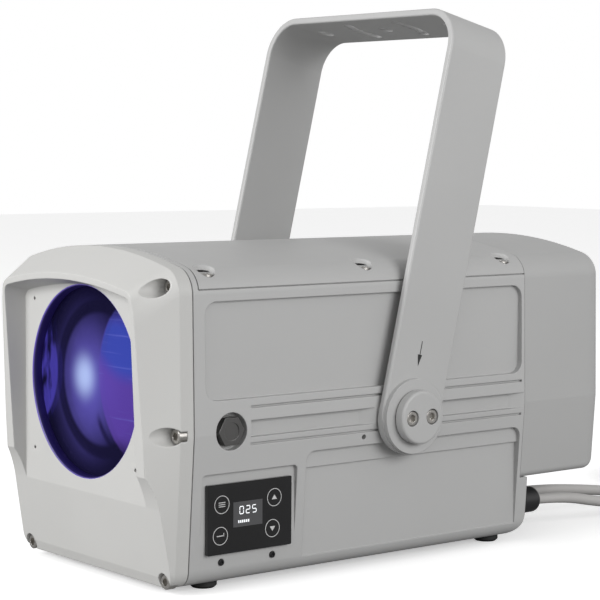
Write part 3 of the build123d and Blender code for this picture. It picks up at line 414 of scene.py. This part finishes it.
# %% Powder coat recipe
def powder_coat(name, colour, edge_radius=0.0009, peel=0.00005):
    coat = Finish(name, colour, 0.48, Coat_Weight=0.12, Coat_Roughness=0.3)
    cloud = coat.noise(9.0, 4.0)
    specks = coat.noise(1900.0, 1.0)
    worn = coat.edges(edge_radius * 1.3)
    dark = tuple(c * 0.955 for c in colour)
    light = tuple(min(1.0, c * 1.03) for c in colour)
    pale = tuple(min(1.0, c * 1.10 + 0.02) for c in colour)
    skin = coat.blend(((cloud * 0.75 + specks * 0.25 - 0.5) * 1.6 + 0.5).limited(), dark, light)
    coat.feed("Base Color", coat.blend(worn * 0.55, skin, pale))
    coat.feed("Roughness", 0.42 + coat.noise(35.0, 4.0) * 0.14 - worn * 0.06)
    skin_height = coat.noise(520.0, 2.0, 0.45) + coat.noise(2300.0, 1.0) * 0.25
    coat.bump(skin_height, peel, 0.6, coat.rounded(edge_radius))
    return coat


# the hood gets a lighter, warmer grey than the casing and yoke, the lid and the rear cover slightly
# darker ones
casing_paint = powder_coat("casing_paint", (0.435, 0.435, 0.432))
lid_paint = powder_coat("lid_paint", (0.42, 0.42, 0.417))
hood_paint = powder_coat("hood_paint", (0.52, 0.518, 0.505), 0.0012)
yoke_paint = powder_coat("yoke_paint", (0.435, 0.435, 0.432), 0.0008)
cover_paint = powder_coat("cover_paint", (0.40, 0.40, 0.397))
dress(casing_paint, "main_casing")
dress(cover_paint, "rear_cover")
dress(lid_paint, "top_lid")
dress(hood_paint, "front_hood")
dress(yoke_paint, "yoke", "pivot_caps")
print("painted", len(bpy.data.materials), "finishes so far")

# %% [markdown]
# ## Metals
# Screws are stainless and lightly blasted, with a turned face. The vent plug is dark
# nickel. Inside, rods are ground, plates are black anodised and the sink is milled.


# %% Metal recipe
def metal(name, colour, roughness, grain=(1.0, 1.0, 1.0), scale=900.0, depth=0.00002):
    made = Finish(name, colour, roughness, 1.0)
    lines = made.noise(scale, 3.0, 0.6, grain)
    stain = made.noise(60.0, 3.0)
    worn = made.edges(0.0004)
    deep = tuple(c * 0.78 for c in colour)
    pale = tuple(min(1.0, c * 1.15 + 0.03) for c in colour)
    made.feed("Base Color", made.blend(worn * 0.6, made.blend(stain, deep, colour), pale))
    made.feed("Roughness", (roughness - 0.08) + lines * 0.16)
    made.bump(lines, depth, 0.5, made.rounded(0.0003))
    return made


stainless = metal("stainless_screws", (0.62, 0.60, 0.57), 0.32, scale=1400.0)
dark_screw = metal("blackened_screws", (0.05, 0.05, 0.052), 0.38, scale=1400.0)
dark_nickel = metal("dark_nickel", (0.17, 0.168, 0.165), 0.34, scale=1200.0)
ground_steel = metal("ground_steel", (0.66, 0.66, 0.67), 0.2, (1.0, 0.04, 1.0), 2500.0)
milled = metal("milled_aluminium", (0.74, 0.74, 0.76), 0.34, (1.0, 1.0, 0.05), 1600.0)
anodised = metal("black_anodised", (0.02, 0.02, 0.022), 0.45, scale=2600.0)
bronze = metal("sintered_bronze", (0.50, 0.36, 0.18), 0.42)
dress(stainless, "hood_screws", "lid_screws", "rear_screws", "retainer_screws", "foot_screws")
dress(stainless, "rear_posts", "bench_screws", "pivot_screws")
dress(dark_screw, "panel_screws")
dress(dark_nickel, "vent_plug")
dress(ground_steel, "guide_rods", "zoom_screw", "focus_screw", "gobo_disc", "data_plug")
dress(milled, "optical_bench", "gobo_pulley", "motor_pulley", "condenser_cup", "heat_sink")
dress(milled, "driver_module")
dress(anodised, "front_rod_plate", "rear_rod_plate", "zoom_carriage", "focus_carriage")
dress(anodised, "gobo_plate", "screw_motors", "gobo_motor", "window_retainer")
dress(bronze, "pivot_bushes")

# %% [markdown]
# ## Rubber, plastic and boards
# Matt rubber has a dusty bloom and no clear gloss. The cable sheath is a soft grey
# compound with a faint drawn grain along it. Boards are green with a satin mask.


# %% Rubber and plastic recipe
def moulded(name, colour, roughness, dust=0.06, scale=1500.0, depth=0.00003):
    made = Finish(name, colour, roughness)
    bloom = made.noise(28.0, 5.0)
    pale = tuple(min(1.0, c + dust) for c in colour)
    made.feed("Base Color", made.blend((bloom * 1.6 - 0.4).limited(), colour, pale))
    made.feed("Roughness", (roughness - 0.07) + bloom * 0.14)
    made.bump(made.noise(scale, 2.0), depth, 0.6, made.rounded(0.0004))
    return made


seal_rubber = moulded("seal_rubber", (0.012, 0.012, 0.012), 0.7, 0.012)
foot_rubber = moulded("foot_rubber", (0.01, 0.01, 0.01), 0.75, 0.02)
gland_black = moulded("gland_black", (0.012, 0.012, 0.013), 0.42, 0.01)
plug_black = moulded("plug_black", (0.014, 0.014, 0.014), 0.5, 0.01)
fibre = moulded("fibre_washer", (0.035, 0.033, 0.03), 0.8, 0.02)
sheath = moulded("grey_sheath", (0.42, 0.41, 0.40), 0.46, 0.04, 900.0, 0.00005)
mask_green = moulded("solder_mask", (0.01, 0.09, 0.035), 0.35, 0.01)
white_board = moulded("white_board", (0.72, 0.71, 0.66), 0.4, 0.02)
dress(seal_rubber, "lid_seal", "rear_seal", "hood_seal", "window_seal", "drive_belt")
dress(foot_rubber, "rubber_feet")
dress(gland_black, "cable_glands", "fan_frame", "fan_rotor", "display_module")
dress(plug_black, "mains_plug", "mains_coil_strap", "data_coil_strap")
dress(fibre, "friction_washers")
dress(sheath, "mains_lead", "data_lead")
dress(mask_green, "control_board", "dimmer_board")
dress(white_board, "led_board")

# %% [markdown]
# ## Glass
# The window is a mix of three things: a clear pane, a painted picture of the reflections
# and glow of the optics behind, given as emission, and a thin violet gloss, which the
# Fresnel law shares out. The lenses behind it are dark, with a painted blue glow in their
# middle. The patterns are built from a few helpers that all start from the distance to a
# point on the face.


# %% Distance from a point on the face
def face_distance(finish, x, z, wide=1.0, tall=1.0):
    """How far the surface point is from (x, z), stretched across or up."""
    offset = finish.node(
        "ShaderNodeVectorMath",
        {"operation": "MULTIPLY_ADD"},
        {0: finish.place(), 1: (1.0 / wide, 0.0, 1.0 / tall), 2: (-x / wide, 0.0, -z / tall)},
    )
    return finish.node("ShaderNodeVectorMath", {"operation": "LENGTH"}, {0: offset}, "Value")


def bell(finish, distance, reach):
    """One at nought, falling smoothly to nothing at the given reach."""
    return finish.node(
        "ShaderNodeMapRange",
        {"interpolation_type": "SMOOTHERSTEP"},
        {"Value": distance, "From Min": 0.0, "From Max": reach, "To Min": 1.0, "To Max": 0.0},
    )


def disc(finish, distance, radius, soft):
    """One inside the radius and nought outside it, with a soft edge."""
    return finish.node(
        "ShaderNodeMapRange",
        {"interpolation_type": "SMOOTHSTEP"},
        {
            "Value": distance,
            "From Min": radius - soft,
            "From Max": radius,
            "To Min": 1.0,
            "To Max": 0.0,
        },
    )


def hoop(finish, distance, radius, width, soft=0.004):
    """One on a circle of that radius, nought half a width away from it."""
    gap = finish.node("ShaderNodeMath", {"operation": "ABSOLUTE"}, {0: distance - radius})
    return disc(finish, gap, width / 2, soft)


# %% [markdown]
# The coated window carries painted reflections and painted glow, given as emission: a
# pale spot, the painted reflection of the lit emitter, with a painted violet haze round
# it. The rims of the lenses behind are painted as dark arcs across the haze, painted
# light stands for the light scattered by the barrel in the side panels, and fine
# painted rays cross them. All of it is worked out from the distance to points on the
# face, so it stays with the glass from every side.

# %% Coated window
lens_z = (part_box("front_lens")[0].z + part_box("front_lens")[1].z) / 2
window_glass = Finish("window_glass", (0.004, 0.004, 0.01), 0.05)
window_glass.shader.inputs["Specular IOR Level"].default_value = 0.0
dark, deep_violet, purple = (0.004, 0.003, 0.020), (0.120, 0.098, 0.47), (0.125, 0.062, 0.42)
blue, ray_blue, side_violet = (0.040, 0.075, 0.46), (0.20, 0.22, 0.75), (0.065, 0.050, 0.40)
spot_blue = (0.50, 0.62, 1.0)


def from_point(x, rise, wide=1.0, tall=1.0):
    """Distance on the window from a point, its height counted from the beam axis."""
    return face_distance(window_glass, x, lens_z + rise, wide, tall)


core = bell(window_glass, from_point(-0.010, 0.0023, 1.0, 1.15), 0.0225)
haze = bell(window_glass, from_point(-0.005, -0.002, 1.0, 1.25), 0.056)
rim_arc = hoop(window_glass, from_point(0.0095, 0.002), 0.0490, 0.0130)
low = disc(window_glass, from_point(0.028, -0.044), 0.034, 0.012)
low_arc = hoop(window_glass, from_point(0.050, 0.0), 0.0490, 0.0085) * low
right_side = disc(window_glass, from_point(0.068, 0.006), 0.0610, 0.0030)
upper = disc(window_glass, from_point(0.042, 0.052), 0.054, 0.014)
left_side = disc(window_glass, from_point(-0.098, 0.004, 1.0, 0.9), 0.0560, 0.003)
level_band = disc(window_glass, from_point(0.0, 0.002, 1000.0, 1.0), 0.052, 0.018)
blocks = window_glass.noise(1.0, 2.0, 0.6, (90.0, 1.0, 34.0))
blocks = ((blocks - 0.37) * 8.0).limited()
rays = window_glass.noise(1.0, 2.0, 0.5, (14.0, 1.0, 330.0))
rays = ((rays - 0.60) * 9.0).limited()
glow_and_gloss_mottle = window_glass.noise(46.0, 4.0)
# painted violet haze of glow round the painted highlight spot, mottled by noise
inside = haze * (0.72 + glow_and_gloss_mottle * 0.45)
# painted reflections and glow of the optics behind, laid colour by colour on the glass: painted
# violet and blue light, painted rays, painted dark lens rims and a painted highlight spot
painted_reflection_tone = window_glass.blend(inside.limited(), (0.003, 0.002, 0.016), deep_violet)
for share, colour in (
    (right_side * level_band * 0.85, purple),
    (right_side * upper * level_band * 0.9, blue),
    (right_side * rays * level_band * 0.38, ray_blue),
    (low_arc * 0.92, dark),
    (rim_arc * (0.97 - right_side * 0.9), dark),
    (left_side * level_band * blocks * 0.9, side_violet),
    (core**1.4, spot_blue),
):
    painted_reflection_tone = window_glass.blend(share.limited(), painted_reflection_tone, colour)
clear = window_glass.node("ShaderNodeBsdfTransparent", {}, {"Color": (0.80, 0.78, 0.95, 1.0)})
# the painted reflections and glow go out as the window's emission
window_glass.feed("Emission Color", painted_reflection_tone)
window_glass.shader.inputs["Emission Strength"].default_value = 0.95
painted_glow_surface = Wire(window_glass, window_glass.shader.outputs[0])
gloss = window_glass.node(
    "ShaderNodeBsdfGlossy", {}, {"Color": (0.45, 0.36, 1.0, 1.0), "Roughness": 0.03}
)
bounce = window_glass.node("ShaderNodeFresnel", {}, {"IOR": 1.45})
through = window_glass.node("ShaderNodeMixShader", {}, {0: 0.22, 1: painted_glow_surface, 2: clear})
both = window_glass.node(
    "ShaderNodeMixShader", {}, {0: (bounce * (0.12 + glow_and_gloss_mottle * 0.10)).limited(), 1: through, 2: gloss}
)
window_glass.tree.links.new(both.socket, window_glass.output.inputs["Surface"])
dress(window_glass, "front_window")
print("window", len(window_glass.tree.nodes), "nodes")

# %% Coated lenses
coated_lens = Finish("coated_lens", (0.006, 0.005, 0.02), 0.06, Coat_Weight=0.6)
coated_lens.feed("Roughness", 0.05 + coated_lens.noise(40.0, 3.0) * 0.06)
# painted reflection of the emitter: a blue glow in the middle of the lenses, given as emission
painted_lens_glow = bell(coated_lens, face_distance(coated_lens, 0.0, lens_z), 0.030)
coated_lens.feed(
    "Emission Color", coated_lens.blend(painted_lens_glow, (0.010, 0.006, 0.05), (0.20, 0.20, 0.80))
)
coated_lens.shader.inputs["Emission Strength"].default_value = 0.5
dress(coated_lens, "front_lens", "focus_lens", "condenser_lens")
print("lenses share", coated_lens.material.name)

# %% [markdown]
# ## Rings behind the window
# Two turned rings fill the gap between the window and the lens barrel: a bevelled lip
# with a painted violet highlight along its front edge, given as emission, all round the
# glass, and a dished baffle that keeps stray light out of the hood. Both are swept from a
# short profile round the beam axis, which is what a lathe does.


# %% Turned ring helper
def turned_ring(name, profile, body="casing", steps=128):
    """Sweep a closed profile of (radius, y) points round the beam axis."""
    shaper = bmesh.new()
    loops = []
    for step in range(steps):
        turn = 2 * math.pi * step / steps
        loops.append(
            [
                shaper.verts.new((r * math.cos(turn), y, lens_z + r * math.sin(turn)))
                for r, y in profile
            ]
        )
    count = len(profile)
    for step in range(steps):
        a = loops[step]
        b = loops[(step + 1) % steps]
        for i in range(count):
            j = (i + 1) % count
            shaper.faces.new((a[i], a[j], b[j], b[i]))
    return made_piece(name, shaper, body, smooth=True)


# %% Lip and baffle
glass_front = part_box("front_window")[0].y
plate_over_glass = 0.007
plate_front = glass_front - plate_over_glass
retainer_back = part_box("window_retainer")[1].y
lip = turned_ring(
    "window_lip",
    [
        (0.0650, plate_front - 0.0002),
        (0.0650, glass_front - 0.0004),
        (0.0636, glass_front - 0.0004),
        (0.0642, plate_front + 0.0012),
    ],
)
baffle = turned_ring(
    "light_baffle",
    [
        (0.0745, retainer_back + 0.0002),
        (0.0745, retainer_back + 0.0012),
        (0.0545, retainer_back + 0.0042),
        (0.0540, retainer_back + 0.0030),
    ],
)
lip_finish = Finish("lip_silicone", (0.012, 0.008, 0.06), 0.35)
depth = lip_finish.node("ShaderNodeSeparateXYZ", {}, {0: lip_finish.place()}, "Y")
# painted violet highlight along the front edge of the lip, given as emission
painted_edge_highlight = (1.0 - (depth - plate_front) * 1100.0).limited()
highlight_mottle = 0.35 + lip_finish.noise(60.0, 2.0) * 0.65
lip_finish.feed(
    "Emission Color",
    lip_finish.blend(
        (painted_edge_highlight * highlight_mottle).limited(), (0.006, 0.004, 0.035), (0.20, 0.13, 0.70)
    ),
)
lip_finish.shader.inputs["Emission Strength"].default_value = 0.8
dress(lip_finish, "window_lip")

baffle_finish = Finish("baffle_black", (0.012, 0.008, 0.04), 0.35)
streaks = baffle_finish.noise(1.0, 4.0, 0.6, (30.0, 1.0, 210.0))
baffle_finish.feed(
    "Base Color", baffle_finish.blend(streaks, (0.008, 0.006, 0.02), (0.03, 0.02, 0.09))
)
dress(baffle_finish, "light_baffle")
print("rings", lip.name, baffle.name)

# %% Black touch glass
touch_glass = Finish("touch_glass", (0.004, 0.004, 0.0045), 0.12, Coat_Weight=0.5)
touch_glass.feed("Roughness", 0.08 + touch_glass.noise(30.0, 5.0) * 0.16)
touch_glass.feed(
    "Base Color",
    touch_glass.blend(touch_glass.noise(45.0, 4.0), (0.003, 0.003, 0.0035), (0.010, 0.010, 0.011)),
)
dress(touch_glass, "panel_glass")
print("touch glass on", nodes["panel_glass"].name)

# %% [markdown]
# ## Marks on the panel and the arm
# The touch panel is printed from behind: four ringed keys and a small lit display. The
# print is a set of thin flat shapes that stand a hair off the glass. Keys carry plain
# signs (lines for the list, triangles for up and down, a bar for enter), and the display
# shows a number in straight segments, as such displays do. One arrow on the arm points
# at the pivot.


# %% Flat shapes on the flank
def flat_shapes(name, shapes, x, body="casing", raise_by=0.00008):
    """Closed outlines of (y, z) points, each made into a thin plate that faces +X."""
    shaper = bmesh.new()
    for outline in shapes:
        low = [shaper.verts.new((x, y, z)) for y, z in outline]
        high = [shaper.verts.new((x + raise_by, y, z)) for y, z in outline]
        shaper.faces.new(high)
        shaper.faces.new(low[::-1])
        for i in range(len(outline)):
            j = (i + 1) % len(outline)
            shaper.faces.new((low[i], low[j], high[j], high[i]))
    return made_piece(name, shaper, body)


def ring_outline(y, z, radius, line, steps=40):
    """A ring cut into short closed pieces."""
    pieces = []
    for step in range(steps):
        a = 2 * math.pi * step / steps
        b = 2 * math.pi * (step + 1) / steps
        inner = radius - line
        pieces.append(
            [
                (y + radius * math.cos(a), z + radius * math.sin(a)),
                (y + radius * math.cos(b), z + radius * math.sin(b)),
                (y + inner * math.cos(b), z + inner * math.sin(b)),
                (y + inner * math.cos(a), z + inner * math.sin(a)),
            ]
        )
    return pieces


def bar(y, z, width, height):
    """A small upright rectangle about its middle."""
    return [
        (y - width / 2, z - height / 2),
        (y + width / 2, z - height / 2),
        (y + width / 2, z + height / 2),
        (y - width / 2, z + height / 2),
    ]


# %% Keys
print_gap = 0.00002
glass_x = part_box("panel_glass")[1].x
panel_y = (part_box("panel_glass")[0].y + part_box("panel_glass")[1].y) / 2
panel_z = (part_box("panel_glass")[0].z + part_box("panel_glass")[1].z) / 2
key_places = {
    "list": (panel_y - 0.0229, panel_z + 0.0096),
    "up": (panel_y + 0.0200, panel_z + 0.0100),
    "enter": (panel_y - 0.0241, panel_z - 0.0108),
    "down": (panel_y + 0.0185, panel_z - 0.0105),
}
key_marks = []
for y, z in key_places.values():
    key_marks += ring_outline(y, z, 0.0060, 0.00045)
y, z = key_places["list"]
key_marks += [bar(y, z + step * 0.0013, 0.0052, 0.0005) for step in (-1, 0, 1)]
y, z = key_places["enter"]
key_marks += [bar(y, z, 0.0060, 0.0006), bar(y + 0.0027, z + 0.0009, 0.0006, 0.0018)]
for name, way in (("up", 1), ("down", -1)):
    y, z = key_places[name]
    key_marks.append(
        [(y - 0.0022, z - way * 0.0013), (y + 0.0022, z - way * 0.0013), (y, z + way * 0.0018)]
    )
flat_shapes("key_print", key_marks, glass_x + print_gap)
print("key marks", len(key_marks))

# %% Display
display_y = panel_y - 0.0018
display_z = panel_z + 0.0018
flat_shapes(
    "display_face",
    [bar(display_y, display_z, 0.0238, 0.0165)],
    glass_x + print_gap,
    raise_by=0.00005,
)
# each segment: steps across and up from the middle of the digit, and whether it lies flat
segments = {
    "a": (0, 1, True),
    "b": (1, 0.5, False),
    "c": (1, -0.5, False),
    "d": (0, -1, True),
    "e": (-1, -0.5, False),
    "f": (-1, 0.5, False),
    "g": (0, 0, True),
}
lit_segments = {"0": "abcdef", "2": "abged", "5": "afgcd"}
digit_marks = []
for place, digit in enumerate("025"):
    centre_y = display_y + 0.0052 * (place - 1)
    for part in lit_segments[digit]:
        across, rise, lying = segments[part]
        spot_y = centre_y + across * 0.0015
        spot_z = display_z + 0.0026 + rise * 0.0024
        size = (0.0026, 0.0006) if lying else (0.0006, 0.0020)
        digit_marks.append(bar(spot_y, spot_z, *size))
for step in range(6):
    small_y = display_y - 0.0075 + 0.0016 * step
    digit_marks.append(bar(small_y, display_z - 0.0048, 0.0010, 0.0018))
flat_shapes("display_digits", digit_marks, glass_x + 0.00010, raise_by=0.00005)
print("display marks", len(digit_marks))

# %% Arrow on the arm
# the widest point of the yoke is the hub, which stands proud of the arm
arm_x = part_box("yoke")[1].x - 0.0035
joint = [j for j in frame["joints"] if j["name"] == "yoke_tilt"][0]
pivot_y, pivot_z = joint["pos_m"][1], joint["pos_m"][2]
lean = math.radians(13.4)


def on_arm(across, along):
    """A point on the arm, across it towards the rear and along it from the pivot."""
    y = pivot_y + along * math.sin(lean) + across * math.cos(lean)
    z = pivot_z + along * math.cos(lean) - across * math.sin(lean)
    return (y, z)


shaft = ((-0.0033, 0.042), (-0.0027, 0.042), (-0.0027, 0.052), (-0.0033, 0.052))
head = ((-0.0030, 0.0345), (-0.0010, 0.0425), (-0.0050, 0.0425))
arrow_marks = [[on_arm(across, along) for across, along in part] for part in (shaft, head)]
flat_shapes("tilt_arrow", arrow_marks, arm_x + 0.00004, "yoke")
print("arrow at", round(arm_x, 4))


# %% Inks
def ink(name, colour, glow):
    made = Finish(name, colour, 0.5)
    thin = made.noise(1500.0, 2.0)
    deep = tuple(c * 0.8 for c in colour)
    made.feed("Base Color", made.blend(thin, deep, colour))
    if glow:
        made.feed("Emission Color", made.blend(thin, deep, colour))
        made.shader.inputs["Emission Strength"].default_value = glow
    return made


dress(ink("key_ink", (0.62, 0.62, 0.62), 0.0), "key_print")
dress(ink("display_grey", (0.055, 0.055, 0.058), 0.25), "display_face")
dress(ink("display_light", (0.80, 0.82, 0.84), 0.7), "display_digits")
dress(ink("arrow_ink", (0.015, 0.015, 0.015), 0.0), "tilt_arrow")
print("inks", [m.name for m in bpy.data.materials if "ink" in m.name or "display" in m.name])

# %% [markdown]
# ## The room
# A wide pale floor and an even white surround. Most of the light comes from the front
# and from the near side, so faces that look down, such as the underside of the crossbar, stay dark:
# the surround lights the object less from low down than it shows to the camera, and the
# floor throws back only part of what falls on it.

# %% Floor
bpy.context.scene.view_settings.view_transform = "Standard"
floor_mesh = bpy.data.meshes.new("floor")
shaper = bmesh.new()
bmesh.ops.create_grid(shaper, x_segments=4, y_segments=4, size=6.0)
shaper.to_mesh(floor_mesh)
shaper.free()
floor = bpy.data.objects.new("floor", floor_mesh)
bpy.context.scene.collection.objects.link(floor)
floor_finish = Finish("floor_paper", (0.9, 0.9, 0.9), 0.95)
fibres = floor_finish.noise(3.0, 2.0)
floor_finish.feed(
    "Base Color", floor_finish.blend(fibres, (0.93, 0.93, 0.93), (0.95, 0.95, 0.95))
)
floor_finish.shader.inputs["Emission Color"].default_value = (1.0, 1.0, 1.0, 1.0)
floor_finish.shader.inputs["Emission Strength"].default_value = 0.42
dull = floor_finish.node("ShaderNodeBsdfDiffuse", {}, {"Color": (0.30, 0.30, 0.30, 1.0)})
seen = floor_finish.node("ShaderNodeLightPath", {}, {}, "Is Camera Ray")
paper = floor_finish.node("ShaderNodeMixShader", {}, {0: seen, 1: dull})
floor_finish.tree.links.new(floor_finish.shader.outputs[0], paper.socket.node.inputs[2])
floor_finish.tree.links.new(paper.socket, floor_finish.output.inputs["Surface"])
floor_mesh.materials.append(floor_finish.material)
print("floor", floor.name)

# %% Surround
world = bpy.data.worlds.new("surround")
world.use_nodes = True
tree = world.node_tree
shown = tree.nodes["Background"]
shown.inputs["Color"].default_value = (1.0, 1.0, 1.0, 1.0)
shown.inputs["Strength"].default_value = 1.0
lighting = tree.nodes.new("ShaderNodeBackground")
direction = tree.nodes.new("ShaderNodeTexCoord")
split = tree.nodes.new("ShaderNodeSeparateXYZ")
height = tree.nodes.new("ShaderNodeMapRange")
height.inputs["From Min"].default_value = -1.0
height.inputs["From Max"].default_value = 1.0
ramp = tree.nodes.new("ShaderNodeValToRGB")
ramp.color_ramp.elements[0].position = 0.36
ramp.color_ramp.elements[0].color = (0.26, 0.26, 0.26, 1.0)
ramp.color_ramp.elements[1].position = 0.55
ramp.color_ramp.elements[1].color = (0.80, 0.80, 0.80, 1.0)
zenith = ramp.color_ramp.elements.new(0.95)
zenith.color = (0.36, 0.36, 0.36, 1.0)
path = tree.nodes.new("ShaderNodeLightPath")
choice = tree.nodes.new("ShaderNodeMixShader")
tree.links.new(direction.outputs["Generated"], split.inputs[0])
tree.links.new(split.outputs["Z"], height.inputs["Value"])
tree.links.new(height.outputs[0], ramp.inputs[0])
tree.links.new(ramp.outputs[0], lighting.inputs["Color"])
tree.links.new(path.outputs["Is Camera Ray"], choice.inputs[0])
tree.links.new(lighting.outputs[0], choice.inputs[1])
tree.links.new(shown.outputs[0], choice.inputs[2])
tree.links.new(choice.outputs[0], tree.nodes["World Output"].inputs["Surface"])
bpy.context.scene.world = world
print("surround", world.name)


# %% Soft lights
def soft_light(name, place, target, size, power):
    data = bpy.data.lights.new(name, "AREA")
    data.shape = "RECTANGLE"
    data.size = size
    data.size_y = size * 0.7
    data.energy = power
    light = bpy.data.objects.new(name, data)
    bpy.context.scene.collection.objects.link(light)
    aim = Vector(target) - Vector(place)
    turned = aim.to_track_quat("-Z", "Y").to_matrix().to_4x4()
    light.matrix_world = Matrix.Translation(place) @ turned
    return light


soft_light("key_light", (-0.4, -2.1, 0.9), (0.0, 0.0, 0.15), 1.4, 42.0)
soft_light("fill_light", (2.1, 0.3, 0.8), (0.0, 0.0, 0.15), 1.3, 24.0)
print("lights", len(bpy.data.lights))

# %% Bring the scene up to date
bpy.context.view_layer.update()
